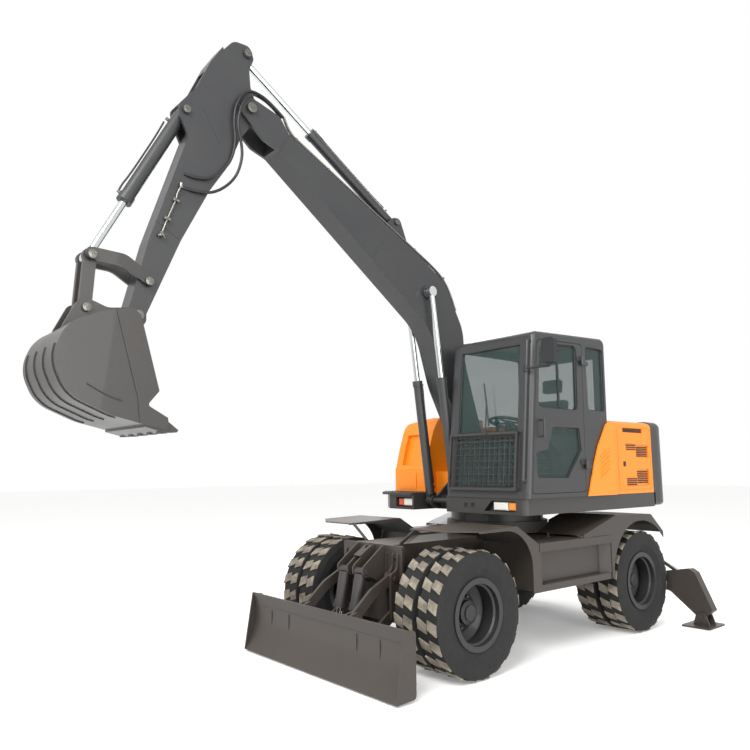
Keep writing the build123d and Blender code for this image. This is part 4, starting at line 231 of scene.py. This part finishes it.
def lenses():
    """Lamp lenses in one moulding, red on the right, amber on the far left and clear between."""
    material, tree, shader = new_finish("moulded_lamp_lens")
    place = add_node(tree, "ShaderNodeTexCoord").outputs["Object"]
    across = add_node(tree, "ShaderNodeSeparateXYZ", links={"Vector": place})
    span = add_node(tree, "ShaderNodeMapRange", {"From Min": -1.0, "From Max": 1.0},
                    {"Value": across.outputs["Y"]})
    clear_from = (RED_LENS_END_Y * MM + 1) / 2
    amber_from = (AMBER_LENS_START_Y * MM + 1) / 2
    shade = ramp(tree, span.outputs["Result"], [(0.0, tint("#c8451a")), (clear_from, tint("#d9d6cc")),
                                                (amber_from, tint("#e08a1c"))])
    shade.node.color_ramp.interpolation = "CONSTANT"
    tree.links.new(shade, shader.inputs["Base Color"])
    flutes = add_node(tree, "ShaderNodeTexWave", {"Scale": 1 / (40 * MM), "bands_direction": "Y"},
                      {"Vector": place})
    ridge = add_node(tree, "ShaderNodeBump", {"Strength": 0.35, "Distance": 1.0 * MM},
                     {"Height": flutes.outputs["Fac"]})
    tree.links.new(ridge.outputs[0], shader.inputs["Normal"])
    shader.inputs["Roughness"].default_value = 0.12
    shader.inputs["Coat Weight"].default_value = 0.6
    return material


lamp_lens = lenses()
print("finishes", len(bpy.data.materials))

# %% Finishes on the solids
FINISHES = [
    (orange_enamel, ["engine_hood", "side_panel", "tank_housing"]),
    (hard_chrome, ["boom_rods", "arm_rod", "bucket_rod", "blade_rods", "stabiliser_rod"]),
    (front_rubber, ["front_tyres"]),
    (rear_rubber, ["rear_tyres"]),
    (wheel_enamel, ["front_rims", "rear_rims"]),
    (cab_pane, ["cab_glass", "door_glass"]),
    (black_abs, ["consoles", "steering_column", "cab_mirror"]),
    (seat_cloth, ["seat"]),
    (lamp_lens, ["lamps"]),
    (blue_grey_enamel, ["boom", "arm", "boom_barrels", "arm_barrel", "bucket_barrel",
                        "cab_shell", "cab_door"]),
    (chassis_enamel, ["blade", "blade_upper_arms", "blade_lower_arms", "chassis_frame", "fenders",
                      "side_lockers", "front_axle", "rear_axle", "tie_rod", "drive_line",
                      "stabiliser_leg", "stabiliser_foot"]),
]
for node_name, node in nodes.items():
    chosen = grey_enamel
    for finish, names in FINISHES:
        if any(node_name == n or node_name in (n + "_left", n + "_right") for n in names):
            chosen = finish
    for slot in node.material_slots:
        slot.material = chosen
print("dressed", len(nodes), "nodes")

# %% [markdown]
# ## How the added pieces are set
# Places below are in millimetres from the slew centre, and one function turns them into the frame's metres.
# Each piece is finished the same way: named, painted, tied to its body and to a slot. Small fittings could be
# one object each, but those of one body are joined, so that each body carries a few pieces only.

# %% Placing helpers
def at(x, y, z):
    """A place in millimetres from the slew centre, in the frame's metres."""
    return Vector(((x + SLEW_X) * MM, y * MM, z * MM))


def settle(piece, name, finish, body):
    """Names a piece, gives it its finish and slot, and ties it to its body when one is given."""
    piece.name = name
    piece.data.name = name
    piece.data.materials.clear()
    piece.data.materials.append(finish)
    if body:
        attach(piece, body)
    return piece


def only(piece):
    """Makes one object the selected and active one."""
    bpy.ops.object.select_all(action="DESELECT")
    piece.select_set(True)
    bpy.context.view_layer.objects.active = piece


def applied(piece, kind, **values):
    """Adds a modifier with its values and applies it."""
    only(piece)
    modifier = piece.modifiers.new(kind.lower(), kind)
    for key, value in values.items():
        setattr(modifier, key, value)
    bpy.ops.object.modifier_apply(modifier=modifier.name)


def fixed(piece):
    """Puts an object's own place, turn and size into its mesh."""
    only(piece)
    bpy.ops.object.transform_apply(location=True, rotation=True, scale=True)


def joined(pieces):
    """Joins several objects into one."""
    bpy.ops.object.select_all(action="DESELECT")
    for piece in pieces:
        piece.select_set(True)
    bpy.context.view_layer.objects.active = pieces[0]
    bpy.ops.object.join()
    return bpy.context.object


def bar_between(start, end, radius, sides):
    """A round or hexagonal bar between two places, as an unfinished piece."""
    run = end - start
    turn = run.to_track_quat("Z", "Y").to_euler()
    bpy.ops.mesh.primitive_cylinder_add(vertices=sides, radius=radius * MM, depth=run.length,
                                        location=(start + end) / 2, rotation=turn)
    fixed(bpy.context.object)
    return bpy.context.object


def bars(name, rows, finish, body, bevel_mm=1.5):
    """Many short bars as one bevelled piece, from rows of (start, end, radius, sides)."""
    piece = joined([bar_between(at(*start), at(*end), radius, sides) for start, end, radius, sides in rows])
    applied(piece, "BEVEL", width=bevel_mm * MM, segments=2, limit_method="ANGLE",
            angle_limit=math.radians(40))
    bpy.ops.object.shade_smooth_by_angle(angle=math.radians(35))
    return settle(piece, name, finish, body)


def slab(name, low, high, finish, body, bevel_mm=3.0):
    """A bevelled plate between two corners."""
    a, b = at(*low), at(*high)
    bpy.ops.mesh.primitive_cube_add(size=1, location=(a + b) / 2)
    piece = bpy.context.object
    piece.scale = b - a
    fixed(piece)
    applied(piece, "BEVEL", width=bevel_mm * MM, segments=3)
    return settle(piece, name, finish, body)


def smooth_line(points):
    """A smooth open curve object along control points, with no thickness yet."""
    data = bpy.data.curves.new("line", "CURVE")
    data.dimensions = "3D"
    data.resolution_u = 10
    spline = data.splines.new("NURBS")
    spline.points.add(len(points) - 1)
    for spot, place in zip(spline.points, points):
        spot.co = (*at(*place), 1.0)
    spline.order_u = 3
    spline.use_endpoint_u = True
    line = bpy.data.objects.new("line", data)
    bpy.context.collection.objects.link(line)
    return line


def tube(points, radius):
    """A tube along control points: (mesh object, the points that it follows)."""
    line = smooth_line(points)
    bpy.context.view_layer.update()
    thread = bpy.data.meshes.new_from_object(line)
    path = [vertex.co.copy() for vertex in thread.vertices]
    bpy.data.meshes.remove(thread)
    line.data.bevel_depth = radius * MM
    line.data.bevel_resolution = 3
    line.data.use_fill_caps = True
    only(line)
    bpy.ops.object.convert(target="MESH")
    piece = bpy.context.object
    bpy.ops.object.shade_smooth_by_angle(angle=math.radians(50))
    return piece, path


def pipe(name, points, radius, finish, body):
    """A finished pipe, line or bead along control points."""
    return settle(tube(points, radius)[0], name, finish, body)


print("placing helpers ready")

# %% [markdown]
# ## Hoses and pipes on the boom and arm
# Oil reaches the arm through two rubber hoses that loop over its pivot, so that the arm can swing, and runs
# on the boom and arm in zinc-plated steel pipes in clamps. A mesh could be bent by hand, but a hose or pipe
# is one round section along a soft line, so each is a swept curve. The hoses run between the boom and the
# arm and are tied to no body. Most points of the hoses and of the arm's pipe were read off the photograph with
# its solved camera.

# %% Hose loops over the arm's pivot
HOSE_RADIUS = 12.0
PIPE_RADIUS = 8.0
HOSE_LOOPS = [
    ("hose_loop_front", [(2690, -54, 4778), (2800, -48, 4850), (2943, -40, 4905), (3090, -18, 4880),
                         (3180, -22, 4718), (3190, -34, 4555), (3163, -34, 4408), (3205, -36, 4194),
                         (3370, -40, 4010), (3500, -46, 3985), (3570, -52, 3990), (3600, -60, 3995)]),
    ("hose_loop_rear", [(2690, -84, 4782), (2790, -84, 4862), (2933, -70, 4900), (3060, -6, 4850),
                        (3150, 4, 4700), (3170, -4, 4520), (3125, -8, 4380), (3110, -18, 4244),
                        (3169, -28, 4053), (3347, -34, 3890), (3521, -44, 3868), (3610, -58, 3880)]),
]
for hose_name, points in HOSE_LOOPS:
    hose, path = tube(points, HOSE_RADIUS)
    settle(hose, hose_name, hose_rubber, None)
    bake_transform(hose)

# %% Pipes, clamps and the valve on the arm
pipe("arm_pipe", [(3630, -40, 3880), (3656, -46, 3830), (3667, -46, 3757), (3700, -46, 3672),
                  (3732, -46, 3589), (3777, -46, 3449)], PIPE_RADIUS, zinc_steel, "arm")
bars("arm_pipe_clamps", [
    ((3652, -66, 3752), (3652, -30, 3752), 13, 6), ((3682, -66, 3760), (3682, -30, 3760), 13, 6),
    ((3718, -66, 3586), (3718, -30, 3586), 13, 6), ((3748, -66, 3594), (3748, -30, 3594), 13, 6),
    ((3640, -46, 3756), (3694, -46, 3756), 12, 6), ((3706, -46, 3590), (3760, -46, 3590), 12, 6),
    ((3630, -40, 3905), (3630, -40, 3862), 17, 6), ((3769, -46, 3478), (3780, -46, 3440), 17, 6),
    ((3745, -46, 3462), (3805, -46, 3444), 11, 6), ((3775, -66, 3452), (3775, -18, 3452), 9, 6),
    ((3790, -20, 3470), (3755, -20, 3425), 5, 8)], zinc_steel, "arm")
for boom_side, (near, far) in {"left": (-58, -40), "right": (-242, -260)}.items():
    for row, y in (("inner", near), ("outer", far)):
        pipe(f"boom_pipe_{boom_side}_{row}", [
            (520, y, 3330), (590, y, 3500), (700, y, 3650), (860, y, 3755), (1114, y, 3882), (1560, y, 4108),
            (2000, y, 4330), (2500, y, 4582), (2640, y, 4655), (2690, y, 4778)],
            PIPE_RADIUS, zinc_steel, "boom")
BOOM_CLAMPS = [(700, 3654), (1114, 3882), (1700, 4176), (2200, 4428), (2560, 4609)]
clamp_rows = []
for x, z in BOOM_CLAMPS:
    for low, high in ((-66, -32), (-268, -234)):
        clamp_rows.append(((x, low, z), (x, high, z), 14, 6))
bars("boom_pipe_clamps", clamp_rows, zinc_steel, "boom")
print("arm and boom pipes done")

# %% [markdown]
# ## Cylinder ports and their lines
# Each barrel has two ports with a hexagonal fitting, and a black line runs between them along the barrel. The
# ports are placed by their distance from the base pin, so that one function serves cylinders at any slope.

# %% Ports and their lines
def along(start, end, distance, lift, y):
    """A place beside the line between two (x, z) pins, at a distance from the first and lifted off it."""
    run = Vector((end[0] - start[0], end[1] - start[1])).normalized()
    return (start[0] + run.x * distance - run.y * lift, y, start[1] + run.y * distance + run.x * lift)


PORT_NEAR = 130.0
PORT_ROOT = -4.0
PORT_TIP = 26.0
PORT_RADIUS = 15.0
LINE_RADIUS = 7.5
BARRELS = [  # body, base pin, eye pin, y of the axis, radius, distance of the far port
    ("boom_barrels", (655, 1345), (948, 3457), 25, 46, 1205),
    ("boom_barrels", (655, 1345), (948, 3457), -325, 46, 1205),
    ("arm_barrel", (1330, 4127), (3061, 5243), -150, 50, 1165),
    ("bucket_barrel", (3600, 4539), (4283, 3195), -150, 54, 915),
]
for index, (body, base, eye, y, radius, far) in enumerate(BARRELS):
    port_rows = []
    for distance in (PORT_NEAR, far):
        port_rows.append((along(base, eye, distance, radius + PORT_ROOT, y),
                          along(base, eye, distance, radius + PORT_TIP, y), PORT_RADIUS, 6))
    bars(f"{body}_ports_{index}", port_rows, zinc_steel, body)
    stations = [  # distance from the base pin, height over the barrel
        (far, 18), (far - 60, 24), (far - 160, 15), ((PORT_NEAR + far) / 2, 14), (PORT_NEAR + 160, 15),
        (PORT_NEAR + 40, 22)]
    route = [along(base, eye, distance, radius + lift, y) for distance, lift in stations]
    pipe(f"{body}_line_{index}", route, LINE_RADIUS, black_abs, body)
print("ports", len(BARRELS))

# %% [markdown]
# ## Pin ends
# Every large pin is held at both ends by a round keeper plate with three bolts, and has a grease nipple in
# its middle. All ends on one body are built from the same rows and joined.

# %% Keeper plates and grease nipples
KEEPER_SINK = 2.0
KEEPER_RISE = 7.0
NIPPLE_RISE = 16.0
NIPPLE_RADIUS = 7.0
BOLT_RISE = 12.0
BOLT_RADIUS = 7.5
BOLT_CIRCLE_SHARE = 0.68
BOLT_TURNS = (0.6, 2.7, 4.8)
PIN_ENDS = [  # body, pin (x, z), y of the left face, y of the right face, radius
    ("boom", (3030, 4734), -8, -292, 44),
    ("arm", (3061, 5243), -44, -256, 34), ("arm", (3600, 4539), -44, -256, 32),
    ("bucket", (3932, 2802), -18, -282, 36), ("bucket", (4303, 2806), -18, -282, 32),
    ("rockers", (3862, 3069), -19, -281, 32), ("rockers", (4283, 3195), -17, -283, 32),
    ("boom", (948, 3457), -9, -291, 48), ("boom", (1330, 4127), -52, -248, 30),
    ("superstructure", (140, 1600), 11, -311, 40),
]
for body in sorted({row[0] for row in PIN_ENDS}):
    rows = []
    for _, (x, z), left, right, radius in [row for row in PIN_ENDS if row[0] == body]:
        for face, way in ((left, 1), (right, -1)):
            rows.append(((x, face - KEEPER_SINK * way, z), (x, face + KEEPER_RISE * way, z), radius, 24))
            rows.append(((x, face, z), (x, face + NIPPLE_RISE * way, z), NIPPLE_RADIUS, 8))
            for turn in BOLT_TURNS:
                bolt_x = x + BOLT_CIRCLE_SHARE * radius * math.cos(turn)
                bolt_z = z + BOLT_CIRCLE_SHARE * radius * math.sin(turn)
                tip = (bolt_x, face + BOLT_RISE * way, bolt_z)
                rows.append(((bolt_x, face, bolt_z), tip, BOLT_RADIUS, 6))
    bars(f"{body}_pin_ends", rows, zinc_steel, body, 1.0)
print("pin ends", len(PIN_ENDS))

# %% [markdown]
# ## Wheels
# The rims are clamped to the hub by nuts on a circle, and a bolted cap closes the hub. One loop serves all
# four twin wheels, and the nuts turn with them.

# %% Wheel nuts and hub caps
HUB_FACE_Y = 888.0
NUT_FOOT_Y, NUT_TIP_Y = 822.0, 852.0
NUT_COUNT, NUT_CIRCLE_R, NUT_RADIUS = 10, 132.0, 13.0
CAP_BOLT_COUNT, CAP_BOLT_CIRCLE_R, CAP_BOLT_RADIUS = 6, 52.0, 7.0
CAP_RADIUS, CAP_RISE = 46.0, 12.0
for axle, axle_x in AXLES.items():
    for side, way in (("left", 1), ("right", -1)):
        rows = []
        hub_y = way * HUB_FACE_Y
        for step in range(NUT_COUNT):
            turn = 2 * math.pi * (step + 0.5) / NUT_COUNT
            x, z = axle_x + NUT_CIRCLE_R * math.cos(turn), AXLE_Z + NUT_CIRCLE_R * math.sin(turn)
            rows.append(((x, way * NUT_FOOT_Y, z), (x, way * NUT_TIP_Y, z), NUT_RADIUS, 6))
        rows.append(((axle_x, hub_y, AXLE_Z), (axle_x, hub_y + way * CAP_RISE, AXLE_Z), CAP_RADIUS, 32))
        for step in range(CAP_BOLT_COUNT):
            turn = 2 * math.pi * step / CAP_BOLT_COUNT
            x, z = axle_x + CAP_BOLT_CIRCLE_R * math.cos(turn), AXLE_Z + CAP_BOLT_CIRCLE_R * math.sin(turn)
            rows.append(((x, hub_y - way * 8, z), (x, hub_y + way * 4, z), CAP_BOLT_RADIUS, 6))
        bars(f"{axle}_wheel_nuts_{side}", rows, zinc_steel, f"{axle}_wheels_{side}", 1.5)
print("wheel nuts done")

# %% [markdown]
# ## Cab trim
# Rubber gaskets hold the panes. Each follows the edge of its own pane, read from the frame, so it stays true
# to the window's real outline. A wiper rests on the screen, and a bar closes the door's sliding pane.

# %% Gaskets round the panes
FACING_SHARE = 0.9
GASKET_RADIUS = 9.0


def outline_loops(mesh, axis):
    """The closed outlines of the faces that look along an axis, each as a list of places."""
    edges = {}
    for polygon in mesh.polygons:
        if polygon.normal[axis] > FACING_SHARE:
            for key in polygon.edge_keys:
                edges[key] = edges.get(key, 0) + 1
    rim = {}
    for (a, b), count in edges.items():
        if count == 1:
            rim.setdefault(a, []).append(b)
            rim.setdefault(b, []).append(a)
    loops, left_over = [], set(rim)
    while left_over:
        first = min(left_over)
        loop, here = [], first
        while here in left_over:
            left_over.discard(here)
            loop.append(mesh.vertices[here].co.copy())
            ahead = [vertex for vertex in rim[here] if vertex in left_over]
            here = ahead[0] if ahead else first
        loops.append(loop)
    return loops


def ring(name, places):
    """A closed round section along places, as an unfinished piece."""
    data = bpy.data.curves.new(name, "CURVE")
    data.dimensions = "3D"
    spline = data.splines.new("POLY")
    spline.points.add(len(places) - 1)
    for spot, place in zip(spline.points, places):
        spot.co = (*place, 1.0)
    spline.use_cyclic_u = True
    data.bevel_depth = GASKET_RADIUS * MM
    data.bevel_resolution = 2
    line = bpy.data.objects.new(name, data)
    bpy.context.collection.objects.link(line)
    only(line)
    bpy.ops.object.convert(target="MESH")
    return bpy.context.object


def gasket(name, node, axis, body):
    """Soft seals round every pane of a glass node that looks along an axis, as one piece."""
    rings = [ring(name, places) for places in outline_loops(nodes[node].data, axis)]
    count = len(rings)
    piece = joined(rings)
    bpy.ops.object.shade_smooth_by_angle(angle=math.radians(50))
    print(name, count, "loops")
    return settle(piece, name, hose_rubber, body)


gasket("door_gaskets", "door_glass", 1, "cab_door")
gasket("side_gaskets", "cab_glass", 1, "superstructure")
gasket("screen_gaskets", "cab_glass", 0, "superstructure")

# %% Wiper and the sliding pane's bar
pipe("wiper_arm", [(852, 620, 1968), (866, 618, 1990), (822, 600, 2200), (806, 590, 2330)], 6.0,
     black_abs, "superstructure")
pipe("wiper_blade", [(838, 640, 2060), (822, 612, 2210), (797, 560, 2470)], 7.0, hose_rubber,
     "superstructure")
slab("door_sliding_bar", (326, 1060, 2222), (352, 1076, 2836), black_abs, "cab_door")
print("cab trim done")

# %% [markdown]
# ## Hood and deck details
# Vents are backed by dark slats, the hood and the locker have latches, and the step has raised grip dots,
# which stay clear of its slanted edge.

# %% Vent slats, latches and grip dots
SLAT_Y = 1031.0
SLAT_RADIUS = 6.5
VENTS = [  # x from and to, z from and to, slats
    (-1190, -806, 2036, 2078, 3), (-1290, -1076, 1780, 1890, 6), (-1060, -862, 1848, 1912, 3),
    (-1284, -1076, 1500, 1636, 7), (-1060, -850, 1482, 1560, 4),
]
LATCH_LOW_Y, LATCH_HIGH_Y = 1036.0, 1044.0
for side, way in (("left", 1), ("right", -1)):
    rows = []
    for x_low, x_high, z_low, z_high, count in VENTS:
        for step in range(count):
            z = z_low + (z_high - z_low) * (step + 0.5) / count
            rows.append(((x_low, way * SLAT_Y, z), (x_high, way * SLAT_Y, z), SLAT_RADIUS, 6))
    bars(f"vent_slats_{side}", rows, black_abs, "superstructure", 1.0)
    low_y, high_y = sorted((way * LATCH_LOW_Y, way * LATCH_HIGH_Y))
    slab(f"hood_latch_{side}", (-836, low_y, 1682), (-788, high_y, 1730), black_abs, "superstructure")
DOT_COLUMNS, DOT_ROWS = 8, 14
DOT_STEP_X, DOT_STEP_Y = 46, 44
DECK_SIDE_Y = 1046
CUT_START_X, CUT_SLOPE = 700, 1.16
DOT_MARGIN = 24
SAFE_X = 668
dots = []
for column in range(DOT_COLUMNS):
    for row in range(DOT_ROWS):
        x, y = 536 + DOT_STEP_X * column, -1010 + DOT_STEP_Y * row
        if x < SAFE_X or (y + DECK_SIDE_Y) > CUT_SLOPE * (x - CUT_START_X) + DOT_MARGIN:
            dots.append(((x, y, 1423), (x, y, 1430), 9, 12))
bars("step_grip_dots", dots, blue_grey_enamel, "superstructure", 1.5)
bars("locker_latch", [((40, 966, 940), (40, 992, 940), 22, 24), ((40, 988, 940), (40, 998, 940), 12, 6)],
     black_abs, "chassis")
print("hood and deck details done")

# %% [markdown]
# ## Weld beads
# Plates of the boom, arm and bucket are joined by fillet welds, which stand a few millimetres proud. A thin
# swept bead catches the light as a weld does, where a bump would show only from close by. The beads' ends
# on the boom and bucket were read off the photograph as well.

# %% Weld beads on the boom, arm and bucket
BEAD_RADIUS = 4.0
WELDS = [
    ("boom", -32, [(2641, 4621), (2743, 4442)]),
    ("boom", -32, [(1481, 3960), (1667, 3690)]),
    ("arm", -62, [(3205, 4190), (3470, 4640)]),
    ("arm", -62, [(3609, 3447), (3812, 3560)]),
    ("bucket", 246, [(4360, 2239), (4240, 2165), (4126, 2138)]),
]
for index, (body, y, corners) in enumerate(WELDS):
    pipe(f"{body}_weld_{index}", [(x, y, z) for x, z in corners], BEAD_RADIUS, blue_grey_enamel, body)
print("welds", len(WELDS))

# %% [markdown]
# ## Seat
# The seat is foam under woven cloth, over a suspension in a folded bellows. A block with rounded edges
# would look hard, so each pad starts slightly small and is swollen by cloth pressure, which crowns its faces.

# %% Seat pads and suspension
CAB_MID_Y = 588.0
START_SHARE = 0.94
EDGE_SHARE = 0.3
VOXEL = 9.0
FILL_PRESSURE = 4.0
FILL_FRAMES = 20
SEAT_PADS = [  # name, centre, size, lean in degrees, most that a point may move
    ("seat_cushion", (50, CAB_MID_Y, 1815), (480, 450, 96), 4.0, 12.0),
    ("seat_back", (-200, CAB_MID_Y, 2110), (90, 420, 560), -9.0, 12.0),
    ("seat_head_rest", (-258, CAB_MID_Y, 2512), (78, 240, 150), -6.0, 8.0),
]


def pad(name, centre, size, lean, most):
    """A stuffed pad: a rounded block swollen by cloth pressure, then set in place."""
    bpy.ops.mesh.primitive_cube_add(size=1)
    piece = bpy.context.object
    piece.scale = [START_SHARE * side * MM for side in size]
    fixed(piece)
    applied(piece, "BEVEL", width=EDGE_SHARE * min(size) * MM, segments=4)
    applied(piece, "REMESH", mode="VOXEL", voxel_size=VOXEL * MM)
    before = [vertex.co.copy() for vertex in piece.data.vertices]
    cloth = piece.modifiers.new("filling", "CLOTH")
    cloth.settings.use_pressure = True
    cloth.settings.uniform_pressure_force = FILL_PRESSURE
    cloth.settings.effector_weights.gravity = 0.0
    for frame_number in range(1, FILL_FRAMES + 1):
        bpy.context.scene.frame_set(frame_number)
    only(piece)
    bpy.ops.object.modifier_apply(modifier=cloth.name)
    bpy.context.scene.frame_set(1)
    for vertex, start in zip(piece.data.vertices, before):
        move = vertex.co - start
        if move.length > most * MM:
            vertex.co = start + move.normalized() * most * MM
    applied(piece, "SMOOTH", iterations=4)
    applied(piece, "SUBSURF", levels=1)
    piece.rotation_euler = (0, math.radians(lean), 0)
    piece.location = at(*centre)
    fixed(piece)
    bpy.ops.object.shade_smooth()
    settle(piece, name, seat_cloth, "superstructure")
    return piece


for row in SEAT_PADS:
    pad(*row)
FOLDS = 7
FOLD_STEP = 44.0
FOLD_HEIGHT = 40.0
BELLOWS_FOOT_Z = 1455.0
bellows = []
for fold in range(FOLDS):
    z = BELLOWS_FOOT_Z + FOLD_STEP * fold
    bellows.append(((20, CAB_MID_Y, z), (20, CAB_MID_Y, z + FOLD_HEIGHT), 200 - 6 * (fold % 2), 4))
base = bars("seat_suspension", bellows, black_abs, "superstructure", 12.0)
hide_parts("seat")
print("seat pads", len(SEAT_PADS))

# %% [markdown]
# ## Stage
# A pale floor and an even pale surround, as in a catalogue. The lamps are large, so shadows stay soft. The
# background is whiter for rays that are seen directly or in gloss and glass, so matt faces keep their light.

# %% Floor, lamps and camera
FLOOR_LIFT = 0.2
WORLD_LIGHT = 0.75
bpy.ops.object.select_all(action="DESELECT")
bpy.ops.mesh.primitive_plane_add(size=120, location=(0, 0, 0))
floor = bpy.context.object
floor.name = "floor"
floor_finish, floor_tree, floor_shader = new_finish("floor_white")
floor_shader.inputs["Base Color"].default_value = tint("#fbfbfa")
floor_shader.inputs["Roughness"].default_value = 0.9
floor.data.materials.append(floor_finish)


def seen_ray(tree):
    """One for rays that come from the camera, a mirror-like surface or a pane, and nought for all others."""
    ray = add_node(tree, "ShaderNodeLightPath").outputs
    direct = add_node(tree, "ShaderNodeMath", {"operation": "MAXIMUM"},
                      {0: ray["Is Camera Ray"], 1: ray["Is Glossy Ray"]})
    either = add_node(tree, "ShaderNodeMath", {"operation": "MAXIMUM"},
                      {0: direct.outputs[0], 1: ray["Is Transmission Ray"]})
    return either.outputs[0]


floor_glow = add_node(floor_tree, "ShaderNodeMath", {"operation": "MULTIPLY", 1: FLOOR_LIFT},
                      {0: seen_ray(floor_tree)})
floor_tree.links.new(floor_glow.outputs[0], floor_shader.inputs["Emission Strength"])
floor_shader.inputs["Emission Color"].default_value = (1, 1, 1, 1)

world = bpy.data.worlds.new("pale_surround")
bpy.context.scene.world = world
world.use_nodes = True
world.node_tree.nodes["Background"].inputs["Color"].default_value = (1, 1, 1, 1)
world_glow = add_node(world.node_tree, "ShaderNodeMath",
                      {"operation": "MULTIPLY_ADD", 1: 1.0 - WORLD_LIGHT, 2: WORLD_LIGHT},
                      {0: seen_ray(world.node_tree)})
world.node_tree.links.new(world_glow.outputs[0], world.node_tree.nodes["Background"].inputs["Strength"])

LAMP_TARGET = Vector((0, 0, 1.5))
LAMPS = [  # name, place, strength in watts, size in metres
    ("key", (9.0, 5.0, 9.0), 1500.0, 5.0),
    ("fill", (2.0, 11.0, 4.0), 500.0, 6.0),
    ("back", (-8.0, -6.0, 8.0), 600.0, 6.0),
]
for lamp_name, lamp_place, watts, width in LAMPS:
    bpy.ops.object.light_add(type="AREA", location=lamp_place)
    lamp = bpy.context.object
    lamp.name = lamp_name
    lamp.data.energy = watts
    lamp.data.size = width
    lamp.rotation_euler = (LAMP_TARGET - lamp.location).to_track_quat("-Z", "Y").to_euler()

CAMERA_PLACE = (4.5064, 4.8741, 1.6666)
CAMERA_HEADING = math.radians(49.68 + 90)
CAMERA_RISE = math.radians(90 + 7.79)
CAMERA_ROLL = -0.007
SENSOR_WIDTH = 36
LENS_LENGTH = 33.14
bpy.ops.object.camera_add(location=CAMERA_PLACE, rotation=(CAMERA_RISE, 0, CAMERA_HEADING))
camera = bpy.context.object
camera.rotation_euler.rotate_axis("Z", CAMERA_ROLL)
camera.data.sensor_width = SENSOR_WIDTH
camera.data.lens = LENS_LENGTH
bpy.context.scene.camera = camera
bpy.context.scene.view_settings.view_transform = "Standard"
print("camera at", [round(c, 3) for c in camera.location])
